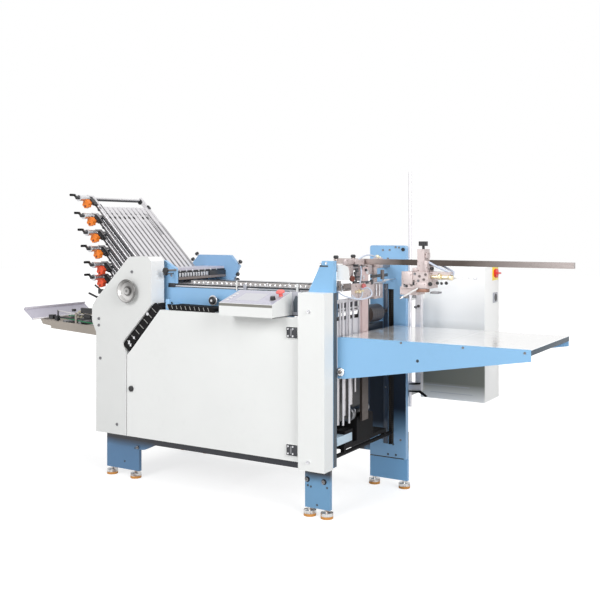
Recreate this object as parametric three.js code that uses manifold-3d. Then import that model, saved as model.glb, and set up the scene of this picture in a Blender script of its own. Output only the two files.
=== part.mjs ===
// Paper folding machine: buckle folder with a pile feeder, register table and sheet delivery.
// Millimetres. z = 0 is the floor, x runs from the delivery to the pile table,
// and y runs from the operator's side to the drive side.
import * as THREE from 'three';
import { mergeVertices } from 'three/addons/utils/BufferGeometryUtils.js';
import Module from 'manifold-3d';

const library = await Module();
library.setup();

// Clearances and shared stock sizes
const fit = 0.3;
const sheetWall = 3;
const plateWall = 20;
const cutOver = 5;
const cornerRound = 12;

// Heights above the floor
const footHeight = 36;
const beamBottom = 178;
const beamHeight = 84;
const coverBottom = 241;
const doorTop = 865;
const armBottom = 881;
const foldShoulder = 886;
const armTop = 968;
const humpTop = 1096;
const rearHumpTop = 1113;
const registerSurface = 985;

// Stations along the machine
const foldLeft = -875;
const humpRight = -488;
const humpChamfer = { run: 70, drop: 38 };
const armRight = 180;
const coverLeft = -896;
const doorLeft = -692;
const doorRight = 286;
const columnLeft = 299;
const columnWidth = 130;
const feederLeft = 305;
const feederRight = 430;

// Stations across the machine
const foldFront = -364;
const foldClear = 394;
const coverFront = -485;
const coverDepth = 97;
const columnFront = -510;
const columnDepth = 76.7;
const feederClear = 570;
const feederWall = 28;
const feederInner = -405;
const rearBeamFront = 165;
const rearBeamDepth = 40;

const foldInner = foldFront + plateWall;
const foldRear = foldInner + foldClear;
const feederFront = feederInner - feederWall;
const feederRearInner = feederInner + feederClear;
const feederRearOuter = feederRearInner + feederWall;
const beamTop = beamBottom + beamHeight;

// Solids from three.js geometries

function solidOf(geometry) {
  const bare = geometry.index ? geometry.toNonIndexed() : geometry.clone();
  bare.deleteAttribute('normal');
  bare.deleteAttribute('uv');
  const merged = mergeVertices(bare);
  return new library.Manifold(new library.Mesh({
    numProp: 3,
    vertProperties: Float32Array.from(merged.attributes.position.array),
    triVerts: Uint32Array.from(merged.index.array),
  }));
}

function geometryOf(solid) {
  const mesh = solid.getMesh();
  const indexed = new THREE.BufferGeometry();
  indexed.setAttribute('position', new THREE.BufferAttribute(Float32Array.from(mesh.vertProperties), 3));
  indexed.setIndex(new THREE.BufferAttribute(Uint32Array.from(mesh.triVerts), 1));
  const flat = indexed.toNonIndexed();
  flat.computeVertexNormals();
  return flat;
}

const join = (...solids) => solids.reduce((whole, next) => whole.add(next));
const cut = (solid, ...tools) => tools.reduce((whole, next) => whole.subtract(next), solid);

function boxGeometry(low, high) {
  const size = high.map((value, axis) => value - low[axis]);
  const middle = high.map((value, axis) => (value + low[axis]) / 2);
  return new THREE.BoxGeometry(...size).translate(...middle);
}
const box = (low, high) => solidOf(boxGeometry(low, high));

// A closed outline whose corners may carry a rounding radius as a third value
function outline(points) {
  const shape = new THREE.Shape();
  const count = points.length;
  points.forEach(([x, y, radius = 0], index) => {
    const before = points[(index + count - 1) % count];
    const after = points[(index + 1) % count];
    const toBefore = new THREE.Vector2(before[0] - x, before[1] - y).normalize().multiplyScalar(radius);
    const toAfter = new THREE.Vector2(after[0] - x, after[1] - y).normalize().multiplyScalar(radius);
    const draw = index === 0 ? 'moveTo' : 'lineTo';
    shape[draw](x + toBefore.x, y + toBefore.y);
    if (radius > 0) shape.quadraticCurveTo(x, y, x + toAfter.x, y + toAfter.y);
  });
  return shape;
}

// Extrusions: along y from an x-z outline, along x from a y-z outline, along z from an x-y outline
function extrude(shape, depth, steps = 3) {
  return new THREE.ExtrudeGeometry(shape, { depth, bevelEnabled: false, curveSegments: steps });
}
function alongY(points, from, to) {
  const geometry = extrude(outline(points), to - from).rotateX(Math.PI / 2).translate(0, to, 0);
  return solidOf(geometry);
}
function alongX(points, from, to) {
  const turn = new THREE.Matrix4().makeBasis(
    new THREE.Vector3(0, 1, 0), new THREE.Vector3(0, 0, 1), new THREE.Vector3(1, 0, 0));
  return solidOf(extrude(outline(points), to - from).applyMatrix4(turn).translate(from, 0, 0));
}
const alongZ = (points, from, to) => solidOf(extrude(outline(points), to - from).translate(0, 0, from));

// A round bar between two points
function rod(start, end, radius, sides = 12) {
  const from = new THREE.Vector3(...start);
  const run = new THREE.Vector3(...end).sub(from);
  const geometry = new THREE.CylinderGeometry(radius, radius, run.length(), sides);
  geometry.translate(0, run.length() / 2, 0);
  const turn = new THREE.Quaternion().setFromUnitVectors(new THREE.Vector3(0, 1, 0), run.normalize());
  return solidOf(geometry.applyQuaternion(turn).translate(...start));
}

// A turned piece about z, then laid so that its z axis points along the given direction
function turned(profile, sides = 16) {
  return new THREE.LatheGeometry(profile.map(([r, h]) => new THREE.Vector2(r, h)), sides).rotateX(Math.PI / 2);
}
const towardFront = new THREE.Euler(Math.PI / 2, 0, 0);

// A knob with lobes round its rim, standing on z = 0
function lobedKnob({ radius, depth, lobes, lobeDepthShare }, stemRadius, stemLength) {
  const shape = new THREE.Shape();
  const steps = lobes * 4;
  for (let step = 0; step < steps; step += 1) {
    const angle = (step / steps) * Math.PI * 2;
    const reach = radius * (1 - lobeDepthShare * (1 - Math.cos(angle * lobes)) / 2);
    const draw = step === 0 ? 'moveTo' : 'lineTo';
    shape[draw](reach * Math.cos(angle), reach * Math.sin(angle));
  }
  const head = solidOf(extrude(shape, depth).translate(0, 0, stemLength));
  return join(head, rod([0, 0, 0], [0, 0, stemLength + depth / 2], stemRadius));
}

// Finishes
const finish = (color, roughness, metalness) => new THREE.MeshStandardMaterial({ color, roughness, metalness });
const bluePaint = () => finish('#7db5e6', 0.45, 0.1);
const whitePaint = () => finish('#eceeee', 0.5, 0.05);
const bareSteel = () => finish('#b9bcc0', 0.3, 0.9);
const blackPlastic = () => finish('#1b1c1f', 0.5, 0);
const orangePlastic = () => finish('#f47b1c', 0.45, 0);
const lilacSheet = () => finish('#c9c6d6', 0.4, 0.3);

const machine = new THREE.Group();
function add(name, solid, material, parent = machine) {
  const mesh = new THREE.Mesh(solid.isBufferGeometry ? solid : geometryOf(solid), material);
  mesh.name = name;
  parent.add(mesh);
  return mesh;
}

// Base: two long beams, three cross members, four leg plates
const leg = { wall: 18, width: 215, left: -935, right: -720 };
const feederLeg = { left: 288, right: 413, rearRight: 505, top: 222, rearTop: 136.7 };
const cross = { width: 40, height: 50 };
const rearLegY = 231;
const rearLegWall = leg.wall;
const gusset = { length: 104, drop: 33, curveShare: 0.3 };
const doubler = { inset: 15, depth: 22 };
const frontBeamDepth = 40;
const rearBeamBottom = 162;
const crossLefts = [leg.left + leg.wall * 2, -250, armRight - cross.width];

function baseFrame() {
  const frontBeam = box([leg.left, foldFront, beamBottom], [feederLeg.left + leg.width / 3, foldFront + frontBeamDepth, beamTop]);
  const rearBeam = box([leg.left, rearBeamFront, rearBeamBottom], [feederLeft - fit, rearBeamFront + rearBeamDepth, beamTop]);
  const rearTail = box(
    [leg.left, feederRearOuter + fit, rearBeamBottom],
    [feederLeg.rearRight - doubler.inset, feederRearOuter + doubler.depth, beamTop]);
  const legs = [
    box([leg.left, foldFront, footHeight], [leg.right, foldFront + leg.wall, beamTop]),
    box([leg.left, rearLegY, footHeight], [leg.right, rearLegY + rearLegWall, beamTop]),
    box([feederLeg.left, feederInner - feederWall + fit, footHeight], [feederLeg.right, feederInner - feederWall + fit + leg.wall, feederLeg.top]),
    box([feederLeft, feederRearInner, footHeight], [feederLeg.rearRight, feederRearInner + leg.wall, feederLeg.rearTop]),
  ];
  const brace = alongY([
    [leg.right - cutOver, beamBottom - gusset.drop],
    [leg.right + gusset.length * gusset.curveShare, beamBottom - gusset.drop, gusset.drop / 2],
    [leg.right + gusset.length, beamBottom + fit],
    [leg.right - cutOver, beamBottom + fit],
  ], foldFront, foldFront + leg.wall);
  const members = crossLefts.map((left) => box(
    [left, foldFront + frontBeamDepth / 2, beamBottom], [left + cross.width, rearBeamFront + rearBeamDepth / 2, beamBottom + cross.height]));
  const outrigger = box(
    [feederLeft, feederFront + leg.wall / 2, feederLeg.top - cross.width / 2],
    [feederLeft + cross.width, foldFront + frontBeamDepth, feederLeg.top]);
  const rearOutrigger = box(
    [leg.left, rearBeamFront, beamBottom], [leg.left + cross.width, rearLegY + rearLegWall, beamTop]);
  const doublerPlate = box(
    [feederLeft + doubler.inset, feederRearInner + leg.wall / 2, footHeight + doubler.inset],
    [feederLeg.rearRight - doubler.inset, feederRearOuter + doubler.depth, feederLeg.rearTop]);
  const riser = box(
    [feederLeft + doubler.inset, feederRearOuter + fit, footHeight + doubler.inset],
    [feederLeg.rearRight - doubler.inset, feederRearOuter + doubler.depth, beamTop]);
  return join(frontBeam, rearBeam, rearTail, ...legs, brace, ...members, outrigger, rearOutrigger, doublerPlate, riser);
}
add('base_frame', baseFrame(), bluePaint());

// Levelling feet: rubber base, bright disc and threaded stem
const foot = { radius: 28, rubber: 8, disc: 17, stem: 8, inset: 29, feederInset: 20 };
function footGeometry() {
  return turned([
    [0, 0], [foot.radius, 0], [foot.radius, foot.rubber], [foot.radius, foot.rubber + foot.disc],
    [foot.stem, foot.rubber + foot.disc + foot.stem / 4], [foot.stem, footHeight - fit], [0, footHeight - fit],
  ], 14);
}
const footSpots = {
  front_left: [leg.left, leg.right, foldFront + leg.wall / 2, foot.inset],
  rear_left: [leg.left, leg.right, rearLegY + rearLegWall / 2, foot.inset],
  front_right: [feederLeg.left, feederLeg.right, feederFront + fit + leg.wall / 2, foot.feederInset],
  rear_right: [feederLeft, feederLeg.rearRight, feederRearInner + leg.wall / 2, foot.feederInset],
};
Object.entries(footSpots).forEach(([place, [left, right, across, inset]]) => {
  const sides = { a: left + inset, b: right - inset };
  Object.entries(sides).forEach(([side, along]) => {
    add(`foot_${place}_${side}`, footGeometry(), finish('#c9c2b8', 0.25, 0.8)).position.set(along, across, 0);
  });
});

// Fold unit side plates, with the shaft holes of the rollers
const foldTilt = Math.PI / 4;
const post = { width: 60 };
const notch = { right: -560, undercut: 180 };
const shaft = { radius: 9, x: -675, z: 949 };
const slope = Math.SQRT1_2;
const infeed = { x: -515, z: 1022, shaftRadius: 8, ringRadius: 14, drumRadius: 24 };

function shaftHoles(from, to) {
  const spots = [[shaft.x, shaft.z, shaft.radius], [infeed.x, infeed.z, infeed.shaftRadius]];
  return spots.map(([x, z, radius]) => rod([x, from - cutOver, z], [x, to + cutOver, z], radius + fit));
}

function sidePlateFront() {
  const lean = humpTop - foldShoulder;
  const plate = alongY([
    [foldLeft, beamTop + fit], [foldLeft, foldShoulder], [foldLeft + lean, humpTop],
    [humpRight - humpChamfer.run, humpTop], [humpRight, humpTop - humpChamfer.drop], [humpRight, armTop],
    [armRight, armTop], [armRight, beamTop + fit], [armRight - post.width, beamTop + fit],
    [armRight - post.width, armBottom], [notch.right, armBottom],
    [notch.right - notch.undercut, armBottom - notch.undercut], [notch.right - notch.undercut, beamTop + fit],
  ], foldFront, foldInner);
  return cut(plate, ...shaftHoles(foldFront, foldInner));
}
add('side_plate_front', sidePlateFront(), bluePaint());

const rearHump = { left: -717, shoulder: -662, crown: -455, nose: -400, foot: -445, noseZ: 1057 };
function sidePlateRear() {
  const bottom = beamBottom + cross.height + fit;
  const plate = alongY([
    [foldLeft, bottom], [foldLeft, foldShoulder], [rearHump.left, rearHump.noseZ],
    [rearHump.shoulder, rearHumpTop], [rearHump.crown, rearHumpTop], [rearHump.nose, rearHump.noseZ],
    [rearHump.foot, armTop], [armRight, armTop], [armRight, bottom], [armRight - post.width, bottom],
    [armRight - post.width, armBottom], [notch.right, armBottom],
    [notch.right - notch.undercut, armBottom - notch.undercut], [notch.right - notch.undercut, bottom],
  ], foldRear, foldRear + plateWall);
  return cut(plate, ...shaftHoles(foldRear, foldRear + plateWall));
}
add('side_plate_rear', sidePlateRear(), bluePaint());

// Drive housing on the far side, open towards the plate
const housing = { left: -780, right: -250, top: 950, depth: 150 };
function driveHousing() {
  const y = foldRear + plateWall + fit;
  const bottom = beamTop + fit;
  const shell = box([housing.left, y, bottom], [housing.right, y + housing.depth, housing.top]);
  const room = box(
    [housing.left + sheetWall, y - cutOver, bottom + sheetWall],
    [housing.right - sheetWall, y + housing.depth - sheetWall, housing.top - sheetWall]);
  return cut(shell, room);
}
add('drive_housing', driveHousing(), whitePaint());

// Feeder plates
const feederTop = { z: 1112, taperLeft: 374, taperZ: 975 };
const feederRearTop = 1170;
const feederRearWidth = 192;
const groove = { left: 405, width: 28, depth: 20, bottom: 203, top: 958 };
function feederPlateFront() {
  return alongY([
    [feederLeft, feederLeg.top + fit], [feederLeft, feederTop.taperZ],
    [feederTop.taperLeft, feederTop.z], [feederRight, feederTop.z], [feederRight, feederLeg.top + fit],
  ], feederFront, feederInner);
}
add('feeder_plate_front', feederPlateFront(), bluePaint());

function feederPlateRear() {
  const right = feederLeft + feederRearWidth;
  const plate = alongY([
    [feederLeft, feederLeg.rearTop + fit], [feederLeft, feederRearTop, cornerRound],
    [right, feederRearTop, cornerRound], [right, feederLeg.rearTop + fit],
  ], feederRearInner, feederRearOuter);
  const slot = box(
    [groove.left, feederRearInner - cutOver, groove.bottom],
    [groove.left + groove.width, feederRearInner + groove.depth, groove.top]);
  return cut(plate, slot);
}
add('feeder_plate_rear', feederPlateRear(), bluePaint());

// Left end cover over the fold unit's front plate
const bulge = { out: 27, bottom: 790, top: 865 };
const coverTop = { z: 1115, left: -679, right: -540, corner: 20 };
const coverShoulder = { z: 901, innerZ: 886 };
const coverHeel = { x: -724, z: 692, drop: 60 };
const wheelHole = 12;
function coverOutline(inset) {
  return [
    [coverLeft + inset, coverBottom + inset],
    [coverLeft + inset, bulge.bottom - bulge.out * 2],
    [coverLeft - bulge.out + inset, bulge.bottom, cornerRound],
    [coverLeft - bulge.out + inset, bulge.top - inset, cornerRound],
    [coverLeft + inset * slope, coverShoulder.z - inset * slope],
    [coverTop.left + inset * slope, coverTop.z - inset],
    [coverTop.right - coverTop.corner, coverTop.z - inset],
    [coverTop.right - inset, coverTop.z - coverTop.corner],
    [coverTop.right - inset, coverShoulder.innerZ + inset],
    [coverHeel.x - inset, coverHeel.z, cornerRound],
    [doorLeft - fit - inset - cutOver, coverHeel.z - coverHeel.drop, cornerRound],
    [doorLeft - fit - inset - cutOver, coverBottom + inset],
  ];
}
function leftCover() {
  const rear = coverFront + coverDepth;
  const shell = alongY(coverOutline(0), coverFront, rear);
  const room = alongY(coverOutline(sheetWall), coverFront + sheetWall, rear + cutOver);
  const hole = rod([shaft.x, coverFront - cutOver, shaft.z], [shaft.x, coverFront + sheetWall + cutOver, shaft.z], wheelHole);
  const studs = [coverBottom + post.width, coverShoulder.z - post.width].map((z) => rod(
    [coverLeft + post.width, coverFront + sheetWall / 2, z], [coverLeft + post.width, foldFront - fit, z], shaft.radius));
  return join(cut(shell, room, hole), ...studs);
}
add('left_cover', leftCover(), whitePaint());

// Tall column cover with the fixed half of the door's hinges
const hinge = { leaf: 55, leafDepth: 8, height: 47, radius: 5, upperZ: 778, lowerZ: 268 };
hinge.x = doorRight + hinge.radius;
hinge.y = coverFront - hinge.leafDepth / 2;
const columnTop = 976;
const columnBottom = 216;
function columnCover() {
  const rear = columnFront + columnDepth;
  const shell = box([columnLeft, columnFront, columnBottom], [columnLeft + columnWidth, rear, columnTop]);
  const room = box(
    [columnLeft + sheetWall, columnFront + sheetWall, columnBottom + sheetWall],
    [columnLeft + columnWidth - sheetWall, rear + cutOver, columnTop - sheetWall]);
  const knuckles = [hinge.upperZ, hinge.lowerZ].flatMap((z) => [
    rod([hinge.x, hinge.y, z], [hinge.x, hinge.y, z + hinge.height / 3], hinge.radius),
    box([hinge.x, hinge.y - hinge.radius / 2, z], [columnLeft + sheetWall / 2, hinge.y + hinge.radius / 2, z + hinge.height / 3]),
  ]);
  const studs = [columnBottom + post.width, columnTop - post.width].map((z) => rod(
    [columnLeft + columnWidth / 2, columnFront + sheetWall / 2, z],
    [columnLeft + columnWidth / 2, feederFront - fit, z], shaft.radius));
  return join(cut(shell, room), ...knuckles, ...studs);
}
add('column_cover', columnCover(), whitePaint());

// Front door: a pan with turned edges, carried on the two hinges
const doorDepth = 25;
const doorCut = { x: -485, z: 859, heelX: -666, heelZ: 661, sideZ: 635 };
const lock = { x: -663, z: 474, radius: 14, depth: 10, shank: 7 };
function doorOutline(inset) {
  return [
    [doorLeft + inset, coverBottom + inset], [doorLeft + inset, doorCut.sideZ],
    [doorCut.heelX + inset, doorCut.heelZ - inset * slope], [doorCut.x + inset * slope, doorTop - inset],
    [doorRight - inset, doorTop - inset], [doorRight - inset, coverBottom + inset],
  ];
}
function frontDoor() {
  const shell = alongY(doorOutline(0), coverFront, coverFront + doorDepth);
  const room = alongY(doorOutline(sheetWall), coverFront + sheetWall, coverFront + doorDepth + cutOver);
  const hole = rod([lock.x, coverFront - cutOver, lock.z], [lock.x, coverFront + doorDepth, lock.z], lock.shank + fit);
  const leaves = [hinge.upperZ, hinge.lowerZ].flatMap((z) => [
    box([doorRight - hinge.leaf, coverFront - hinge.leafDepth, z], [doorRight - fit, coverFront + sheetWall / 2, z + hinge.height]),
    rod([hinge.x, hinge.y, z + hinge.height / 3 + fit], [hinge.x, hinge.y, z + hinge.height], hinge.radius),
    box([doorRight - hinge.radius, hinge.y - hinge.radius / 2, z + hinge.height / 3 + fit],
      [hinge.x, hinge.y + hinge.radius / 2, z + hinge.height]),
  ]);
  return join(cut(shell, room, hole), ...leaves);
}
add('front_door', frontDoor(), whitePaint());

function doorLock() {
  const head = turned([
    [0, fit], [lock.radius, fit], [lock.radius, lock.depth - sheetWall], [lock.radius - sheetWall, lock.depth], [0, lock.depth]]);
  const shank = rod([0, 0, fit * 2], [0, 0, -doorDepth / 2], lock.shank);
  return join(solidOf(head), shank);
}
const lockMesh = add('door_lock', doorLock(), blackPlastic());
lockMesh.position.set(lock.x, coverFront, lock.z);
lockMesh.rotation.copy(towardFront);

// Handwheel on the main roller's shaft
const wheel = { radius: 58, rim: 8, standOff: 6, depth: 32, hub: 20, hubTop: 16, dish: 14 };
function handwheel() {
  const profile = [
    [0, wheel.standOff], [wheel.hub, wheel.standOff], [wheel.radius - wheel.rim, wheel.standOff + wheel.rim],
    [wheel.radius, wheel.depth - wheel.rim], [wheel.radius - wheel.rim / 2, wheel.depth],
    [wheel.radius - wheel.rim, wheel.depth - wheel.rim / 2], [wheel.radius - wheel.rim * 2, wheel.dish],
    [wheel.hub, wheel.dish], [wheel.hubTop, wheel.depth - wheel.rim], [0, wheel.depth - wheel.rim],
  ];
  const run = coverFront - foldInner;
  return join(solidOf(turned(profile, 28)), rod([0, 0, run + fit], [0, 0, wheel.dish], shaft.radius));
}
const wheelMesh = add('handwheel', handwheel(), bareSteel());
wheelMesh.position.set(shaft.x, coverFront, shaft.z);
wheelMesh.rotation.copy(towardFront);

// Main fold roller between the side plates
const rollerRadius = 20;
const journal = 15;
function foldRoller() {
  const body = rod([0, foldInner + fit, 0], [0, foldRear - fit, 0], rollerRadius, 18);
  return join(body, rod([0, foldRear - plateWall, 0], [0, foldRear + journal, 0], shaft.radius));
}
add('fold_roller', foldRoller(), bareSteel()).position.set(shaft.x, 0, shaft.z);

// Infeed roller with collars on the near half and a covered drum on the far half
const collar = { count: 6, width: 14, pitch: 30, start: 18 };
function infeedRoller() {
  const axle = rod([0, foldInner - journal, 0], [0, foldRear + journal, 0], infeed.shaftRadius);
  const collars = Array.from({ length: collar.count }, (_, index) => {
    const from = foldInner + collar.start + index * collar.pitch;
    return rod([0, from, 0], [0, from + collar.width, 0], infeed.ringRadius);
  });
  const drumFrom = foldInner + collar.start + collar.count * collar.pitch;
  const drum = rod([0, drumFrom, 0], [0, foldRear - fit - collar.start / 3, 0], infeed.drumRadius, 16);
  return join(axle, ...collars, drum);
}
add('infeed_roller', infeedRoller(), finish('#55585c', 0.4, 0.6)).position.set(infeed.x, 0, infeed.z);

// Lid over the infeed, hinged on its left edge
const lid = { left: -620, right: -496, bottom: 1052, wall: 4, lip: 8 };
function infeedLid() {
  const near = foldInner + fit;
  const far = foldRear - fit;
  return join(
    box([lid.left, near, lid.bottom], [lid.right, far, lid.bottom + lid.wall]),
    box([lid.right - lid.wall, near, lid.bottom - lid.lip], [lid.right, far, lid.bottom + lid.wall]));
}
add('infeed_lid', infeedLid(), lilacSheet());

// Fold plates: local x runs outwards along the plates, local z from one plate to the next
const foldPack = new THREE.Group();
foldPack.rotation.y = foldTilt - Math.PI;
machine.add(foldPack);

const plateCount = 6;
const foldPlate = {
  pitch: 43, first: -246, tuck: 67.2, length: 580, spread: 358,
  bar: 15, depth: 22, slats: 10, slatShare: 0.74, slatWall: 3, gridInset: 82, tie: 24, rod: 5,
  block: 24, blockDepth: 28,
};
// The plates start inside the slanted shoulder line of the side plates
const plateInner = (foldShoulder - foldLeft) * slope - foldPlate.tuck;
const reachShares = [0, 0.244, 0.461, 0.666, 0.871, 1];
const plateReach = (index) => plateInner + foldPlate.length - foldPlate.spread * reachShares[index];
const plateLevel = (index) => foldPlate.first + foldPlate.pitch * index;

function foldPlateSolid(index) {
  const outer = plateReach(index);
  const half = foldPlate.depth / 2;
  const near = foldInner + fit;
  const far = foldRear - fit;
  const gridEnd = outer - foldPlate.gridInset;
  const bars = [near, far - foldPlate.bar].map((y) => box(
    [plateInner, y, -half], [outer, y + foldPlate.bar, half]));
  const ties = [plateInner, gridEnd - foldPlate.tie].map((x) => box(
    [x, near + foldPlate.bar / 2, -half / 2], [x + foldPlate.tie, far - foldPlate.bar / 2, half - foldPlate.slatWall]));
  const endRod = rod([outer - foldPlate.rod * 2, near, 0], [outer - foldPlate.rod * 2, far, 0], foldPlate.rod, 8);
  const room = far - near - foldPlate.bar * 2;
  const pitch = room / foldPlate.slats;
  const slats = Array.from({ length: foldPlate.slats }, (_, slat) => {
    const y = near + foldPlate.bar + pitch * (slat + (1 - foldPlate.slatShare) / 2);
    return box([plateInner, y, -half], [gridEnd, y + pitch * foldPlate.slatShare, -half / 2 + foldPlate.slatWall]);
  });
  const block = box(
    [outer - foldPlate.block, near - foldPlate.blockDepth, -foldPlate.block / 2],
    [outer, near + foldPlate.bar / 2, foldPlate.block / 2]);
  return join(...bars, ...ties, endRod, block, ...slats);
}

// Each plate's stop crank and its clamping star knob, at the operator's end of the plate
const crank = { radius: 7, length: 84, armReach: 26, armWidth: 9, handle: 26, handleRadius: 4 };
const plateKnob = { radius: 24, depth: 22, lobes: 6, lobeDepthShare: 0.2 };
const knobPlace = { back: 42, down: 11, stem: 37, stemRadius: 6 };

function stopCrank() {
  const hub = rod([0, 0, 0], [0, 0, crank.length], crank.radius);
  const arm = box(
    [-crank.armWidth / 2, -crank.armWidth / 2, crank.length - crank.armWidth],
    [crank.armReach, crank.armWidth / 2, crank.length]);
  const handle = rod(
    [crank.armReach - crank.handleRadius, 0, crank.length - crank.armWidth / 2],
    [crank.armReach - crank.handleRadius, 0, crank.length + crank.handle], crank.handleRadius, 8);
  return join(hub, arm, handle);
}

for (let index = 0; index < plateCount; index += 1) {
  const number = index + 1;
  const level = plateLevel(index);
  const reach = plateReach(index);
  add(`fold_plate_${number}`, foldPlateSolid(index), bareSteel(), foldPack).position.z = level;
  const crankMesh = add(`stop_crank_${number}`, stopCrank(), blackPlastic(), foldPack);
  crankMesh.position.set(reach - foldPlate.block / 2, foldInner - foldPlate.blockDepth, level);
  crankMesh.rotation.copy(towardFront);
  const knobMesh = add(
    `plate_knob_${number}`, lobedKnob(plateKnob, knobPlace.stemRadius, knobPlace.stem), orangePlastic(), foldPack);
  knobMesh.position.set(reach - knobPlace.back, foldInner, level + knobPlace.down);
  knobMesh.rotation.copy(towardFront);
}

// Register table on top of the fold unit's arms, with its ball rail and adjusting knob
const register = { left: -540, right: 300, wall: 6, rim: 24 };
function registerTable() {
  const near = foldInner + fit;
  const far = foldRear - fit;
  const top = box([register.left, near, registerSurface - register.wall], [register.right, far, registerSurface]);
  const nearRim = box(
    [humpRight + fit, foldFront, armTop + fit], [register.right, near + register.rim, registerSurface]);
  const farRim = box(
    [rearHump.foot + cutOver * 2, far - register.rim, armTop + fit], [register.right, foldRear + plateWall, registerSurface]);
  return join(top, nearRim, farRim);
}
add('register_table', registerTable(), finish('#c4c6ca', 0.35, 0.7));

const ballRail = { y: -318, width: 22, height: 14, endInset: 60 };
function ballRailSolid() {
  const bottom = registerSurface + fit;
  return box(
    [humpRight + ballRail.endInset, ballRail.y, bottom],
    [register.right - cutOver, ballRail.y + ballRail.width, bottom + ballRail.height]);
}
add('ball_rail', ballRailSolid(), finish('#5c5e62', 0.35, 0.8));

const registerKnob = { x: -235, z: 914, radius: 19, depth: 26, stem: 22, stemRadius: 6 };
function registerKnobSolid() {
  const head = turned([
    [0, registerKnob.stem], [registerKnob.radius, registerKnob.stem],
    [registerKnob.radius, registerKnob.stem + registerKnob.depth - sheetWall],
    [registerKnob.radius - sheetWall, registerKnob.stem + registerKnob.depth], [0, registerKnob.stem + registerKnob.depth]]);
  return join(solidOf(head), rod([0, 0, fit], [0, 0, registerKnob.stem + sheetWall], registerKnob.stemRadius));
}
const registerKnobMesh = add('register_knob', registerKnobSolid(), blackPlastic());
registerKnobMesh.position.set(registerKnob.x, foldFront, registerKnob.z);
registerKnobMesh.rotation.copy(towardFront);

// Control box with its sloping panel, speed knob and stop button
const control = {
  left: -60, right: 219, front: -592, back: -430, bottom: 869, frontTop: 925, backTop: 972,
  bracketHeight: 40, bracketInset: 40,
};

// Things on the panel stand on its slope: distances run along x and up the slope from the front edge
const panel = new THREE.Group();
panel.position.set(0, control.front, control.frontTop);
panel.rotation.x = Math.atan2(control.backTop - control.frontTop, control.back - control.front);
machine.add(panel);
const speedKnob = { x: 186, up: 62, radius: 13, top: 11, depth: 16 };
const stopButton = { x: 199, up: 108, radius: 20, cap: 11, capTop: 12, neck: 9, standoff: 18, bore: 20 };

function controlBox() {
  const body = alongX([
    [control.front, control.bottom], [control.back, control.bottom],
    [control.back, control.backTop], [control.front, control.frontTop],
  ], control.left, control.right);
  const bracket = box(
    [control.left + control.bracketInset, control.back - cutOver, foldShoulder],
    [armRight - cutOver, foldFront - fit, foldShoulder + control.bracketHeight]);
  panel.updateMatrix();
  const bore = new THREE.CylinderGeometry(stopButton.neck + fit, stopButton.neck + fit, stopButton.bore * 2, 16)
    .rotateX(Math.PI / 2).translate(stopButton.x, stopButton.up, 0).applyMatrix4(panel.matrix);
  return join(cut(body, solidOf(bore)), bracket);
}
add('control_box', controlBox(), whitePaint());

function speedKnobSolid() {
  return solidOf(turned([
    [0, fit], [speedKnob.radius, fit], [speedKnob.top, speedKnob.depth], [0, speedKnob.depth]], 14));
}
add('speed_knob', speedKnobSolid(), blackPlastic(), panel).position.set(speedKnob.x, speedKnob.up, 0);
function stopButtonSolid() {
  const neckTop = stopButton.standoff;
  return solidOf(turned([
    [0, -stopButton.bore / 2], [stopButton.neck, -stopButton.bore / 2],
    [stopButton.neck, neckTop], [stopButton.radius, neckTop],
    [stopButton.radius, neckTop + stopButton.cap / 2], [stopButton.capTop, neckTop + stopButton.cap],
    [0, neckTop + stopButton.cap]], 18));
}
const stopMesh = add('stop_button', stopButtonSolid(), finish('#c81e22', 0.4, 0), panel);
stopMesh.position.set(stopButton.x, stopButton.up, 0);

// Cross beam between the feeder plates, with the long rail that carries the suction head
const rail = { y: -130, width: 24, left: 281, right: 1376, bottom: 1089, height: 25 };
const beam = { left: 380, width: 32, height: 25 };
const railTop = rail.bottom + rail.height;
const beamLow = rail.bottom - beam.height;
const beamSeat = { pitch: 162, y: -348, radius: 5, knobRadius: 10, knobDepth: 8, height: 30 };
function feedRail() {
  const bar = box(
    [rail.left, rail.y - rail.width / 2, rail.bottom], [rail.right, rail.y + rail.width / 2, railTop]);
  const crossBeam = box(
    [beam.left, feederInner + fit, beamLow], [beam.left + beam.width, feederRearInner - fit, rail.bottom + fit]);
  const screws = [beamSeat.y, beamSeat.y + beamSeat.pitch].map((y) => {
    const x = beam.left + beam.width / 2;
    return join(
      rod([x, y, rail.bottom], [x, y, rail.bottom + beamSeat.height], beamSeat.radius, 8),
      rod([x, y, rail.bottom + beamSeat.height - beamSeat.knobDepth], [x, y, rail.bottom + beamSeat.height], beamSeat.knobRadius));
  });
  return join(bar, crossBeam, ...screws);
}
add('feed_rail', feedRail(), finish('#8b8178', 0.35, 0.8));

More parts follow.
